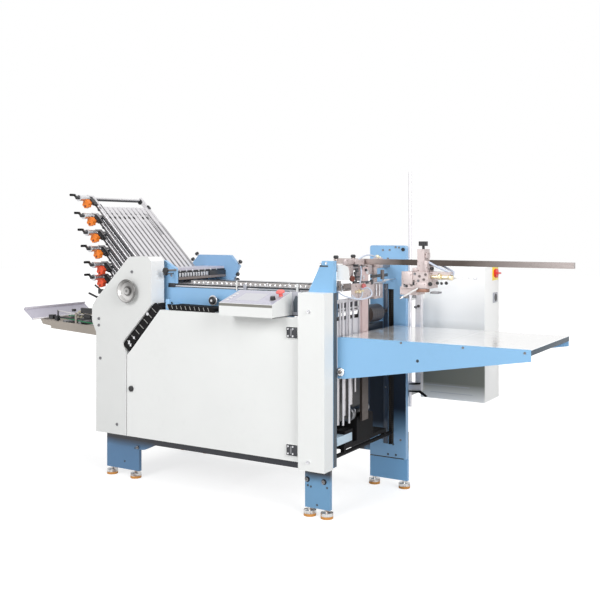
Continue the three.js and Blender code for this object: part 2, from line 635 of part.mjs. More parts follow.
// Suction head on its carriage, and the knob that clamps the carriage to the rail
const head = {
  left: 636, right: 762, halfDepth: 55, bottom: 990, top: 1062,
  nozzleLeft: 623, nozzleRight: 705, nozzleBottom: 960, nozzleInset: 12,
  valveRight: 850, valveBottom: 1029, valveTop: 1063, valveHalf: 22,
};
const saddle = { left: 700, right: 733, wall: 18, cap: 47 };
const saddleTop = railTop + saddle.cap;
const clampKnob = { radius: 21, depth: 20, lobes: 7, lobeDepthShare: 0.2 };
const clampStem = { radius: 6, length: 14 };
function suctionHead() {
  const halfSaddle = rail.width / 2 + saddle.wall;
  const saddleBlock = box(
    [saddle.left, rail.y - halfSaddle, head.top - cutOver], [saddle.right, rail.y + halfSaddle, saddleTop]);
  const passage = box(
    [saddle.left - cutOver, rail.y - rail.width / 2 - fit, rail.bottom - fit],
    [saddle.right + cutOver, rail.y + rail.width / 2 + fit, railTop + fit]);
  const body = box([head.left, rail.y - head.halfDepth, head.bottom], [head.right, rail.y + head.halfDepth, head.top]);
  const nozzle = box(
    [head.nozzleLeft, rail.y - head.halfDepth + head.nozzleInset, head.nozzleBottom],
    [head.nozzleRight, rail.y + head.halfDepth - head.nozzleInset, head.bottom + cutOver]);
  const valve = box(
    [head.right - cutOver, rail.y - head.valveHalf, head.valveBottom],
    [head.valveRight, rail.y + head.valveHalf, head.valveTop]);
  return join(cut(saddleBlock, passage), body, nozzle, valve);
}
add('suction_head', suctionHead(), finish('#b9a9a4', 0.35, 0.7));
add('head_clamp_knob', lobedKnob(clampKnob, clampStem.radius, clampStem.length), blackPlastic())
  .position.set((saddle.left + saddle.right) / 2, rail.y, saddleTop + fit);

// Pile table: bright top on a blue carrier with side skirts, lifted by a lug in the rear plate's groove
const table = {
  left: 450, right: 1280, near: -400, far: 150, surface: 785, topWall: 3, carrierWall: 5,
  skirtLeft: 432, skirtDepth: 180, skirtHeel: 469, noseDepth: 46,
};
const lug = { left: 408, right: 460, front: 130, back: 160, drop: 145, height: 120 };
function feedTable() {
  const carrierTop = table.surface - table.topWall - fit;
  const skirtBottom = table.surface - table.skirtDepth;
  const skirtNose = table.surface - table.noseDepth;
  const lugBottom = table.surface - lug.drop;
  const plate = box([table.left, table.near, carrierTop - table.carrierWall], [table.right, table.far, carrierTop]);
  const skirts = [table.near, table.far - sheetWall].map((y) => alongY([
    [table.skirtLeft, skirtBottom], [table.skirtHeel, skirtBottom], [table.right, skirtNose],
    [table.right, carrierTop], [table.skirtLeft, carrierTop],
  ], y, y + sheetWall));
  const endWall = box(
    [table.left, table.near + sheetWall / 2, skirtBottom + cutOver],
    [table.left + sheetWall, table.far - sheetWall / 2, carrierTop - sheetWall]);
  const lugOuter = box([lug.left, lug.front, lugBottom], [lug.right, lug.back, lugBottom + lug.height]);
  const lugInner = box(
    [groove.left + fit, lug.back - cutOver, lugBottom],
    [groove.left + groove.width - fit, feederRearInner + groove.depth - fit, lugBottom + lug.height]);
  return join(plate, ...skirts, endWall, lugOuter, lugInner);
}
add('feed_table', feedTable(), bluePaint());
function tableTop() {
  return box(
    [table.left, table.near, table.surface - table.topWall], [table.right, table.far, table.surface]);
}
add('table_top', tableTop(), finish('#c3c7cb', 0.18, 0.95));

// Front gauge of the pile: post under the beam, a sheet with windows, and two stop rods
const gauge = {
  left: 434, wall: 4, postDepth: 12, postNear: -194, postFar: -134, postBottom: 385,
  near: -390, bottom: 600, top: 945, rodRadius: 5, rodBottom: 395, rodTop: 930, columns: 3, rows: 2, frame: 14,
};
const gaugeRods = [-365, -309];
function frontGauge() {
  const plate = box(
    [gauge.left, gauge.near, gauge.bottom], [gauge.left + gauge.wall, gauge.postNear + cutOver, gauge.top]);
  const across = (gauge.postNear - gauge.near - gauge.frame) / gauge.columns;
  const up = (gauge.top - gauge.bottom - gauge.frame) / gauge.rows;
  const windows = [];
  for (let column = 0; column < gauge.columns; column += 1) {
    for (let row = 0; row < gauge.rows; row += 1) {
      const y = gauge.near + gauge.frame + across * column;
      const z = gauge.bottom + gauge.frame + up * row;
      windows.push(box(
        [gauge.left - cutOver, y, z], [gauge.left + gauge.wall + cutOver, y + across - gauge.frame, z + up - gauge.frame]));
    }
  }
  const post = box(
    [gauge.left, gauge.postNear, gauge.postBottom],
    [gauge.left + gauge.postDepth, gauge.postFar, beamLow + beam.height / 2]);
  const foot = box(
    [beam.left + beam.width + fit, gauge.postNear, beamLow], [gauge.left + cutOver, gauge.postFar, beamLow + beam.height / 2]);
  const rods = gaugeRods.map((y) => rod(
    [gauge.left + gauge.wall + gauge.rodRadius / 2, y, gauge.rodBottom],
    [gauge.left + gauge.wall + gauge.rodRadius / 2, y, gauge.rodTop], gauge.rodRadius, 8));
  return join(cut(plate, ...windows), post, foot, ...rods);
}
add('front_gauge', frontGauge(), finish('#d9dbde', 0.3, 0.8));

// Feed drum on its shaft between the feeder plates
const drum = { x: 393, z: 853, radius: 42, near: -60, far: 60, shaftRadius: 9 };
function feedDrum() {
  return join(
    rod([0, feederInner + fit, 0], [0, feederRearInner - fit, 0], drum.shaftRadius),
    rod([0, drum.near, 0], [0, drum.far, 0], drum.radius, 20));
}
add('feed_drum', feedDrum(), finish('#33363a', 0.5, 0.4)).position.set(drum.x, 0, drum.z);

// Lift drive on a tie rod low between the feeder plates
const lift = {
  rodX: 418, rodZ: 262, rodRadius: 9, trayLeft: 320, trayRight: 427, trayBottom: 280, trayTop: 298,
  near: -330, far: 90, boxLeft: 380, boxNear: -325, boxFar: -250, boxTop: 360, gearNear: -210, gearFar: -50, gearTop: 402,
};
function liftDrive() {
  const tie = rod([lift.rodX, feederInner + fit, lift.rodZ], [lift.rodX, feederRearInner - fit, lift.rodZ], lift.rodRadius);
  const tray = box([lift.trayLeft, lift.near, lift.trayBottom], [lift.trayRight, lift.far, lift.trayTop]);
  const hangers = [lift.near, lift.far - lift.rodRadius * 2].map((y) => box(
    [lift.rodX - lift.rodRadius, y, lift.rodZ], [lift.trayRight, y + lift.rodRadius * 2, lift.trayTop]));
  const gearbox = box([lift.boxLeft, lift.boxNear, lift.trayTop - sheetWall], [lift.trayRight, lift.boxFar, lift.boxTop]);
  const motor = box([lift.trayLeft, lift.gearNear, lift.trayTop - sheetWall], [lift.trayRight, lift.gearFar, lift.gearTop]);
  return join(tie, tray, ...hangers, gearbox, motor);
}
add('lift_drive', liftDrive(), finish('#3a4048', 0.5, 0.4));

// Delivery trough at the left end, with the post of its press wheel
const trough = {
  near: -350, far: 60, wall: 4, noseX: -1428, noseZ: 762, lipX: -1413, lipZ: 741, stepX: -1352, stepZ: 733,
  floorOuter: 717, floorInner: 690, innerHeight: 48,
};
const pressWheel = { x: -1170, y: -312, z: 797, radius: 20, width: 14, axle: 5, arm: 12 };
function deliveryTrough() {
  const right = foldLeft - fit;
  const wallPoints = [
    [trough.noseX, trough.noseZ], [trough.lipX, trough.lipZ], [trough.stepX, trough.stepZ],
    [trough.stepX, trough.floorOuter], [right, trough.floorInner], [right, trough.floorInner + trough.innerHeight],
  ];
  const walls = [trough.near, trough.far - trough.wall].map((y) => alongY(wallPoints, y, y + trough.wall));
  const floor = alongY([
    [trough.stepX, trough.floorOuter], [right, trough.floorInner],
    [right, trough.floorInner + trough.wall], [trough.stepX, trough.floorOuter + trough.wall],
  ], trough.near + trough.wall / 2, trough.far - trough.wall / 2);
  const apron = alongY([
    [trough.noseX, trough.noseZ], [trough.lipX, trough.lipZ], [trough.stepX, trough.stepZ],
    [trough.stepX, trough.stepZ - trough.wall], [trough.lipX - trough.wall, trough.lipZ - trough.wall],
    [trough.noseX - trough.wall, trough.noseZ],
  ], trough.near + trough.wall / 2, trough.far - trough.wall / 2);
  const closer = box(
    [trough.stepX, trough.near + trough.wall / 2, trough.floorOuter],
    [trough.stepX + trough.wall, trough.far - trough.wall / 2, trough.stepZ]);
  const arm = box(
    [pressWheel.x - pressWheel.arm / 2, trough.near, trough.floorOuter],
    [pressWheel.x + pressWheel.arm / 2, trough.near + trough.wall, pressWheel.z + pressWheel.arm]);
  const axle = rod(
    [pressWheel.x, trough.near + trough.wall / 2, pressWheel.z],
    [pressWheel.x, pressWheel.y + pressWheel.width / 2, pressWheel.z], pressWheel.axle);
  return join(...walls, floor, apron, closer, arm, axle);
}
add('delivery_trough', deliveryTrough(), finish('#a59a86', 0.5, 0.3));

function deliveryWheel() {
  const tyre = rod([0, -pressWheel.width / 2, 0], [0, pressWheel.width / 2, 0], pressWheel.radius, 20);
  return cut(tyre, rod([0, -pressWheel.radius, 0], [0, pressWheel.radius, 0], pressWheel.axle + fit));
}
add('delivery_wheel', deliveryWheel(), finish('#e9e0cb', 0.6, 0)).position.set(pressWheel.x, pressWheel.y, pressWheel.z);

// Catch board, pivoted at the trough's outer end and standing up at a slope
const board = { near: -410, far: 45, length: 84, wall: 4, lip: 14, pivotRadius: 5, tilt: 36 };
const boardPivot = new THREE.Group();
boardPivot.position.set(trough.noseX, 0, trough.noseZ + board.pivotRadius + fit);
boardPivot.rotation.y = THREE.MathUtils.degToRad(board.tilt);
machine.add(boardPivot);
function deliveryBoard() {
  return join(
    box([-board.length, board.near, -board.wall / 2], [0, board.far, board.wall / 2]),
    box([-board.length, board.near, -board.wall / 2], [-board.length + board.wall, board.far, board.lip]),
    rod([0, board.near, 0], [0, board.far, 0], board.pivotRadius));
}
add('delivery_board', deliveryBoard(), lilacSheet(), boardPivot);

// Control cabinet behind the feeder, carried by two brackets from the rear plate
const cabinet = { left: 476, right: 811, near: 390, far: 602, bottom: 405, top: 1085, bracket: 18, bracketHeight: 34 };
const bracketZ = [437, 900];
function controlCabinet() {
  const body = box([cabinet.left, cabinet.near, cabinet.bottom], [cabinet.right, cabinet.far, cabinet.top]);
  const brackets = bracketZ.map((z) => box(
    [cabinet.left, feederRearOuter + fit, z], [cabinet.left + cabinet.bracket, cabinet.near + cutOver, z + cabinet.bracketHeight]));
  return join(body, ...brackets);
}
add('control_cabinet', controlCabinet(), finish('#dfe1e0', 0.55, 0.05));

const mainSwitch = { y: 541, z: 1030, radius: 22, depth: 26, grip: 8 };
function mainSwitchSolid() {
  const dial = turned([
    [0, fit], [mainSwitch.radius, fit], [mainSwitch.radius, mainSwitch.depth / 2], [0, mainSwitch.depth / 2]]);
  const grip = box(
    [-mainSwitch.grip / 2, -mainSwitch.radius + fit, mainSwitch.depth / 3],
    [mainSwitch.grip / 2, mainSwitch.radius - fit, mainSwitch.depth]);
  return join(solidOf(dial), grip);
}
const switchMesh = add('main_switch', mainSwitchSolid(), finish('#cf2127', 0.4, 0));
switchMesh.position.set(cabinet.right, mainSwitch.y, mainSwitch.z);
switchMesh.rotation.y = Math.PI / 2;

// Mast behind the feeder: a thin pole and a square post in one clamp bracket
const mast = { x: 503, y: 202, radius: 8, bottom: 390, top: 1526, clampLeft: 440, clampHeight: 34, lowZ: 474, highZ: 1080 };
const mastPost = { left: 534, width: 29, top: 942 };
function rearMast() {
  const near = feederRearOuter + fit;
  const far = near + mastPost.width;
  const pole = rod([mast.x, mast.y, mast.bottom], [mast.x, mast.y, mast.top], mast.radius);
  const lowClamp = box([mast.clampLeft, near, mast.lowZ], [mastPost.left + mastPost.width, far, mast.lowZ + mast.clampHeight]);
  const highClamp = box([mast.clampLeft, near, mast.highZ], [mast.x, far, mast.highZ + mast.clampHeight]);
  const squarePost = box(
    [mastPost.left, near, mast.lowZ + mast.clampHeight / 2], [mastPost.left + mastPost.width, far, mastPost.top]);
  return join(pole, lowClamp, highClamp, squarePost);
}
add('rear_mast', rearMast(), finish('#a9adb2', 0.35, 0.7));

// The origin is under the middle of the machine, on the floor
const bounds = new THREE.Box3().setFromObject(machine);
const middle = bounds.getCenter(new THREE.Vector3());
machine.position.set(-middle.x, -middle.y, -bounds.min.z);
const part = new THREE.Group();
part.name = 'folding_machine';
part.add(machine);

export default part;
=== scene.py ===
"""Looks of a paper folding machine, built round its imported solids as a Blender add-on."""
import math

import bpy
from mathutils import Matrix, Vector


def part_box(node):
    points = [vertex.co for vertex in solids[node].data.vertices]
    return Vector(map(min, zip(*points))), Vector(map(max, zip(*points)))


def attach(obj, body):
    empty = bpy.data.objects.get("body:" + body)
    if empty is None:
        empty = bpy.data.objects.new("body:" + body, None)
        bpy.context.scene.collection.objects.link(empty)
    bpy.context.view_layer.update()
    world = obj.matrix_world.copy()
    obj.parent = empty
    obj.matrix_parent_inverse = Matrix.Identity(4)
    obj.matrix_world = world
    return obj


bl_info = {
    "name": "Paper Folding Machine",
    "version": (1, 0, 0),
    "blender": (4, 5, 0),
    "location": "View3D > Sidebar > Folder",
    "description": "Dresses a paper folding machine with finishes, fittings and a studio",
    "category": "Object",
}

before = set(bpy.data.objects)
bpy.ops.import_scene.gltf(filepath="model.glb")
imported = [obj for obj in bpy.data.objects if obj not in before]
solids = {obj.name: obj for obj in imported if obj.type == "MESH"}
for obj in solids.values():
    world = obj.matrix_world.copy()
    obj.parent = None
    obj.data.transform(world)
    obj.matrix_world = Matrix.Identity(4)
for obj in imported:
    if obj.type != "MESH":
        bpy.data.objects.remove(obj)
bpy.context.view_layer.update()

# Where the machine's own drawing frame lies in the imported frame, in metres
FRONT_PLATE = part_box("side_plate_front")[0].y
FEEDER_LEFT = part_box("feeder_plate_front")[0].x
SHIFT = Vector((FEEDER_LEFT - 0.305, FRONT_PLATE + 0.364, 0.0))

# Faces of the machine that carry fittings, in millimetres of the drawing
COVER_FACE, DOOR_FACE, COLUMN_FACE = -485, -494.7, -510
SIDE_FACE, LEG_FACE, TABLE_FACE = -364, -433, -400
REAR_FACE = 164.9
HEAD_FACE = -185

SHARP_ANGLE = math.radians(50)
SMOOTH_ANGLE = math.radians(35)
TOWARDS_FRONT = (0, -1, 0)


def at(x, y, z):
    """A point given in millimetres of the machine's drawing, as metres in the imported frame."""
    return Vector((x / 1000, y / 1000, z / 1000)) + SHIFT


# Settings


class FolderSizes(bpy.types.PropertyGroup):
    """Sizes of the fittings that a user would change."""

    screw_radius: bpy.props.FloatProperty(
        name="Screw radius", description="Radius of the cover screws' heads", default=0.006, unit="LENGTH")
    ball_radius: bpy.props.FloatProperty(
        name="Ball radius", description="Radius of the register balls", default=0.0075, unit="LENGTH")
    hose_radius: bpy.props.FloatProperty(
        name="Hose radius", description="Radius of the air hoses", default=0.004, unit="LENGTH")
    rib_pitch: bpy.props.FloatProperty(
        name="Rib pitch", description="Distance between the ribs of the guard strip", default=0.027,
        unit="LENGTH")


class FolderColours(bpy.types.PropertyGroup):
    """Colours of the finishes."""

    frame_blue: bpy.props.FloatVectorProperty(
        name="Frame blue", description="Enamel of the frame and table", subtype="COLOR", size=3,
        default=(0.275, 0.52, 0.81), min=0, max=1)
    cover_white: bpy.props.FloatVectorProperty(
        name="Cover white", description="Powder coat of the covers", subtype="COLOR", size=3,
        default=(0.84, 0.85, 0.84), min=0, max=1)
    knob_orange: bpy.props.FloatVectorProperty(
        name="Knob orange", description="Star knobs on the fold plates", subtype="COLOR", size=3,
        default=(0.95, 0.235, 0.02), min=0, max=1)
    panel_lilac: bpy.props.FloatVectorProperty(
        name="Panel lilac", description="Panel top, lid and catch board", subtype="COLOR", size=3,
        default=(0.52, 0.50, 0.585), min=0, max=1)


def sizes():
    """The sizes set in the panel."""
    return bpy.context.scene.folder_sizes


def colours():
    """The colours set in the panel."""
    return bpy.context.scene.folder_colours


# Modelling helpers


def start():
    """Object mode with nothing selected."""
    if bpy.context.object and bpy.context.object.mode != "OBJECT":
        bpy.ops.object.mode_set(mode="OBJECT")
    bpy.ops.object.select_all(action="DESELECT")


def settle(piece):
    """Puts a new part's place into its mesh."""
    bpy.ops.object.transform_apply(location=True, rotation=True, scale=True)
    return piece


def bevelled(piece, width, segments=2):
    """Bevels the sharp edges in edit mode."""
    if width > 0:
        bpy.ops.object.mode_set(mode="EDIT")
        bpy.ops.mesh.select_mode(type="EDGE")
        bpy.ops.mesh.select_all(action="DESELECT")
        bpy.ops.mesh.edges_select_sharp(sharpness=SHARP_ANGLE)
        bpy.ops.mesh.bevel(offset=width, segments=segments, affect="EDGES")
        bpy.ops.object.mode_set(mode="OBJECT")
    bpy.ops.object.shade_smooth_by_angle(angle=SMOOTH_ANGLE)
    return piece


def block(low, high, edge=0.001):
    """A bevelled block between two corners."""
    start()
    bpy.ops.mesh.primitive_cube_add(size=1, location=(low + high) / 2, scale=high - low)
    return bevelled(settle(bpy.context.object), edge)


def round_bar(begin, end, radius, edge=0.0008, sides=24):
    """A bevelled round bar between two points."""
    start()
    run = end - begin
    bpy.ops.mesh.primitive_cylinder_add(
        vertices=sides, radius=radius, depth=run.length, location=(begin + end) / 2,
        rotation=run.to_track_quat("Z", "Y").to_euler())
    return bevelled(settle(bpy.context.object), edge, 1)


def boxes(*rows):
    """Blocks: a row is two corners in drawing millimetres and, if it isn't 0.001, the bevel."""
    return [block(at(*row[:3]), at(*row[3:6]), *row[6:]) for row in rows]


def bars(*rows):
    """Round bars: a row is two ends in drawing millimetres, the radius and maybe bevel and sides."""
    return [round_bar(at(*row[:3]), at(*row[3:6]), *row[6:]) for row in rows]


def socket_screw(place, direction, radius, height):
    """A cap screw: a round head whose hexagon socket is inset and pushed in."""
    start()
    direction = Vector(direction).normalized()
    bpy.ops.mesh.primitive_cylinder_add(
        vertices=12, radius=radius, depth=height, location=place + direction * height / 2,
        rotation=direction.to_track_quat("Z", "Y").to_euler())
    piece = bpy.context.object
    bpy.ops.object.mode_set(mode="EDIT")
    bpy.ops.mesh.select_mode(type="FACE")
    bpy.ops.mesh.select_all(action="DESELECT")
    bpy.ops.object.mode_set(mode="OBJECT")
    top = max(piece.data.polygons, key=lambda face: face.center.z)
    top.select = True
    bpy.ops.object.mode_set(mode="EDIT")
    bpy.ops.mesh.inset(thickness=radius * 0.12, depth=radius * -0.06)
    bpy.ops.mesh.inset(thickness=radius * 0.36)
    bpy.ops.mesh.extrude_region_move(
        TRANSFORM_OT_translate={"value": direction * height * -0.55, "orient_type": "GLOBAL"})
    bpy.ops.object.mode_set(mode="OBJECT")
    settle(piece)
    bpy.ops.object.shade_smooth_by_angle(angle=SMOOTH_ANGLE)
    return piece


def ball(place, radius):
    """A smooth ball."""
    start()
    bpy.ops.mesh.primitive_uv_sphere_add(segments=14, ring_count=8, radius=radius, location=place)
    piece = settle(bpy.context.object)
    bpy.ops.object.shade_smooth()
    return piece


def star_knob(foot, direction, radius=0.016, depth=0.012, stem=0.02):
    """A star knob: a round head whose every other side is pushed in, on its stem."""
    start()
    direction = Vector(direction).normalized()
    centre = foot + direction * (stem + depth / 2)
    bpy.ops.mesh.primitive_cylinder_add(
        vertices=20, radius=radius, depth=depth, location=centre,
        rotation=direction.to_track_quat("Z", "Y").to_euler())
    head = settle(bpy.context.object)
    for index, corner in enumerate(head.data.vertices):
        out = corner.co - centre
        lift = direction * out.dot(direction)
        share = 0.80 if (index // 2) % 2 else 1.0
        corner.co = centre + lift + (out - lift) * share
    bevelled(head, 0.0015, 1)
    return head, round_bar(foot, foot + direction * stem, radius * 0.35)


def copied(piece, offset):
    """A copy with its own mesh, moved by offset."""
    twin = piece.copy()
    twin.data = piece.data.copy()
    twin.data.transform(Matrix.Translation(Vector(offset)))
    bpy.context.scene.collection.objects.link(twin)
    return twin


def in_a_row(first, pitch, count):
    """A piece and its copies, each one pitch further on."""
    return [first, *(copied(first, [way * step for way in pitch]) for step in range(1, count))]


def tube(points, radius):
    """A smooth hose through drawing points, as a mesh."""
    start()
    curve = bpy.data.curves.new("tube", "CURVE")
    curve.dimensions = "3D"
    curve.bevel_depth = radius
    curve.bevel_resolution = 1
    curve.use_fill_caps = True
    line = curve.splines.new("NURBS")
    line.points.add(len(points) - 1)
    for point, place in zip(line.points, points):
        point.co = (*at(*place), 1)
    line.order_u = 3
    line.use_endpoint_u = True
    line.resolution_u = 6
    piece = bpy.data.objects.new("tube", curve)
    bpy.context.scene.collection.objects.link(piece)
    piece.select_set(True)
    bpy.context.view_layer.objects.active = piece
    bpy.ops.object.convert(target="MESH")
    piece = bpy.context.object
    bpy.ops.object.shade_smooth_by_angle(angle=math.radians(40))
    return piece


def outline_plate(points, axis, low, high, edge=0.0008):
    """A plate from an outline across Y or Z in drawing millimetres, extruded from low to high."""
    start()
    mesh = bpy.data.meshes.new("outline")
    place = at if axis == "z" else lambda x, z, y: at(x, y, z)
    mesh.from_pydata([place(*point, low) for point in points], [], [list(range(len(points)))])
    piece = bpy.data.objects.new("outline", mesh)
    bpy.context.scene.collection.objects.link(piece)
    piece.select_set(True)
    bpy.context.view_layer.objects.active = piece
    bpy.ops.object.mode_set(mode="EDIT")
    bpy.ops.mesh.select_all(action="SELECT")
    away = place(0, 0, high) - place(0, 0, low)
    bpy.ops.mesh.extrude_region_move(TRANSFORM_OT_translate={"value": away})
    bpy.ops.mesh.select_all(action="SELECT")
    bpy.ops.mesh.normals_make_consistent(inside=False)
    bpy.ops.object.mode_set(mode="OBJECT")
    return bevelled(piece, edge, 1)


def made(name, finish, parts, body="machine"):
    """Joins the parts to one piece and gives it its finish, body and material slot."""
    start()
    for part in parts:
        part.select_set(True)
    bpy.context.view_layer.objects.active = parts[0]
    if len(parts) > 1:
        bpy.ops.object.join()
    piece = bpy.context.object
    piece.name = name
    piece.data.name = name
    piece.data.materials.clear()
    piece.data.materials.append(finishes[finish])
    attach(piece, body)


def made_of_blocks(name, finish, *rows, body="machine", slot=None):
    """A finished piece of blocks only."""
    made(name, finish, boxes(*rows), body)


def made_of_bars(name, finish, *rows, body="machine", slot=None):
    """A finished piece of round bars only."""
    made(name, finish, bars(*rows), body)


def screws_at(name, places, radius, height, finish="bright_steel", body="machine"):
    """Like cap screws that look to the front: one is modelled and copied to the other places."""
    first = socket_screw(at(*places[0]), TOWARDS_FRONT, radius, height)
    rest = [copied(first, at(*place) - at(*places[0])) for place in places[1:]]
    made(name, finish, [first, *rest], body)


# Finishes

finishes = {}


def group_tree(name, inputs, outputs):
    """An empty node group with its sockets."""
    tree = bpy.data.node_groups.new(name, "ShaderNodeTree")
    for title, kind, value in inputs:
        socket = tree.interface.new_socket(name=title, in_out="INPUT", socket_type=kind)
        socket.default_value = value
    for title in outputs:
        tree.interface.new_socket(name=title, in_out="OUTPUT", socket_type="NodeSocketFloat")
    return tree, tree.nodes.new("NodeGroupInput"), tree.nodes.new("NodeGroupOutput")


def noise_node(tree, vector, scale, detail, stretch=None):
    """Noise on a vector, stretched along one axis where a brushed look needs it."""
    if stretch:
        mapping = tree.nodes.new("ShaderNodeMapping")
        mapping.inputs["Scale"].default_value = stretch
        tree.links.new(vector, mapping.inputs["Vector"])
        vector = mapping.outputs["Vector"]
    noise = tree.nodes.new("ShaderNodeTexNoise")
    noise.inputs["Scale"].default_value = scale
    noise.inputs["Detail"].default_value = detail
    noise.inputs["Roughness"].default_value = 0.55
    tree.links.new(vector, noise.inputs["Vector"])
    return noise.outputs["Fac"]


def wave_node(tree, vector, axis, scale):
    """Even waves along X, Y or Z."""
    wave = tree.nodes.new("ShaderNodeTexWave")
    wave.bands_direction = axis
    wave.inputs["Scale"].default_value = scale
    tree.links.new(vector, wave.inputs["Vector"])
    return wave.outputs["Fac"]


def vector_node(tree, operation, vector, other=None):
    """One step of vector arithmetic."""
    node = tree.nodes.new("ShaderNodeVectorMath")
    node.operation = operation
    tree.links.new(vector, node.inputs[0])
    if other:
        node.inputs[1].default_value = other
    return node.outputs["Value" if operation in ("LENGTH", "DOT_PRODUCT") else "Vector"]


def ramp_node(tree, value, low, high, first=0.0, last=1.0):
    """Goes from one grey to another between two places of a value."""
    ramp = tree.nodes.new("ShaderNodeValToRGB")
    for element, spot, grey in zip(ramp.color_ramp.elements, (low, high), (first, last)):
        element.position = spot
        element.color = (grey, grey, grey, 1)
    tree.links.new(value, ramp.inputs["Fac"])
    return ramp.outputs["Color"]


def math_node(tree, operation, a, b):
    """One step of arithmetic, on numbers or sockets."""
    node = tree.nodes.new("ShaderNodeMath")
    node.operation = operation
    for index, value in enumerate((a, b)):
        if isinstance(value, (int, float)):
            node.inputs[index].default_value = value
        else:
            tree.links.new(value, node.inputs[index])
    return node.outputs[0]


def make_groups():
    """Effects that several finishes share: coat grain, brushed lines and handling wear."""
    tree, entry, leave = group_tree(
        "coat_grain",
        [("Vector", "NodeSocketVector", (0, 0, 0)), ("Grain", "NodeSocketFloat", 0.3)],
        ["Shade", "Height"])
    peel = noise_node(tree, entry.outputs["Vector"], 420, 2)
    cloud = noise_node(tree, entry.outputs["Vector"], 2.6, 4)
    tree.links.new(cloud, leave.inputs["Shade"])
    tree.links.new(math_node(tree, "MULTIPLY", peel, entry.outputs["Grain"]), leave.inputs["Height"])

    tree, entry, leave = group_tree(
        "brushed_lines",
        [("Vector", "NodeSocketVector", (0, 0, 0)), ("Depth", "NodeSocketFloat", 0.4)],
        ["Lines", "Height"])
    fine = noise_node(tree, entry.outputs["Vector"], 60, 4, (1, 12, 40))
    wide = noise_node(tree, entry.outputs["Vector"], 9, 3, (1, 3, 9))
    lines = math_node(tree, "MULTIPLY", math_node(tree, "ADD", fine, wide), 0.5)
    tree.links.new(lines, leave.inputs["Lines"])
    tree.links.new(math_node(tree, "MULTIPLY", fine, entry.outputs["Depth"]), leave.inputs["Height"])

    tree, entry, leave = group_tree(
        "handling_wear",
        [("Vector", "NodeSocketVector", (0, 0, 0)), ("Amount", "NodeSocketFloat", 0.2)],
        ["Mask"])
    spots = noise_node(tree, entry.outputs["Vector"], 38, 5)
    streaks = noise_node(tree, entry.outputs["Vector"], 7, 6, (1, 1, 0.3))
    marks = ramp_node(tree, math_node(tree, "MULTIPLY", spots, streaks), 0.3, 0.42)
    tree.links.new(math_node(tree, "MULTIPLY", marks, entry.outputs["Amount"]), leave.inputs["Mask"])


def use_group(tree, name, vector, **values):
    """Puts a shared effect into a material."""
    node = tree.nodes.new("ShaderNodeGroup")
    node.node_tree = bpy.data.node_groups[name]
    tree.links.new(vector, node.inputs["Vector"])
    for title, value in values.items():
        node.inputs[title].default_value = value
    return node.outputs


def new_material(name):
    """An empty material, kept among the finishes by its name."""
    material = bpy.data.materials.new(name)
    material.use_nodes = True
    tree = material.node_tree
    shader = tree.nodes["Principled BSDF"].inputs
    place = tree.nodes.new("ShaderNodeTexCoord").outputs["Object"]
    finishes[name] = material
    return material, tree, shader, place


def object_place(tree):
    """The places on the solid that its material's texture nodes read."""
    return tree.nodes["Texture Coordinate"].outputs["Object"]


def mix_colour(tree, factor, first, second):
    """Goes from one colour to another, where each may be a colour or a socket."""
    mix = tree.nodes.new("ShaderNodeMix")
    mix.data_type = "RGBA"
    for socket, value in ((mix.inputs[0], factor), (mix.inputs[6], first), (mix.inputs[7], second)):
        if hasattr(value, "is_output"):
            tree.links.new(value, socket)
        else:
            socket.default_value = (*value, 1) if hasattr(value, "__len__") else value
    return mix.outputs[2]


def bump(tree, shader, height, strength, distance):
    """Small relief from a height."""
    node = tree.nodes.new("ShaderNodeBump")
    node.inputs["Strength"].default_value = strength
    node.inputs["Distance"].default_value = distance
    tree.links.new(height, node.inputs["Height"])
    tree.links.new(node.outputs["Normal"], shader["Normal"])


def tint(colour, *shares):
    """A colour made darker or lighter, by one share or by one for each channel."""
    shares = shares * 3 if len(shares) == 1 else shares
    return tuple(min(1, channel * share) for channel, share in zip(colour, shares))


def varied(name, group, output, setting, colour, dark, light, worn_colour, wear):
    """A material whose colour follows a shared effect and changes where hands wear it."""
    material, tree, shader, place = new_material(name)
    look = use_group(tree, group, place, **setting)
    worn = use_group(tree, "handling_wear", place, Amount=wear)["Mask"]
    base = mix_colour(tree, look[output], tint(colour, dark), tint(colour, light))
    tree.links.new(mix_colour(tree, worn, base, worn_colour), shader["Base Color"])
    return material, tree, shader, look, worn


def painted(name, colour, roughness=0.36, grain=0.3, coat=0.25, wear=0.12):
    """Sprayed metal: a slightly uneven coat with orange peel and light handling marks."""
    material, tree, shader, look, worn = varied(
        name, "coat_grain", "Shade", {"Grain": grain}, colour, 0.94, 1.05, tint(colour, 0.72), wear)
    level = ramp_node(tree, look["Shade"], 0.3, 0.75, roughness - 0.05, roughness + 0.08)
    tree.links.new(level, shader["Roughness"])
    shader["Coat Weight"].default_value = coat
    shader["Coat Roughness"].default_value = 0.25
    bump(tree, shader, look["Height"], 0.18, 0.0006)
    return material


def steel(name, colour, roughness=0.3, depth=0.4, metallic=0.95, wear=0.1):
    """Bare metal with brushing lines and a few dull spots."""
    material, tree, shader, look, worn = varied(
        name, "brushed_lines", "Lines", {"Depth": depth}, colour, 0.8, 1.15, tint(colour, 0.55), wear)
    level = ramp_node(tree, look["Lines"], 0.3, 0.7, roughness - 0.1, roughness + 0.12)
    tree.links.new(level, shader["Roughness"])
    shader["Metallic"].default_value = metallic
    bump(tree, shader, look["Height"], 0.12, 0.0004)
    return material


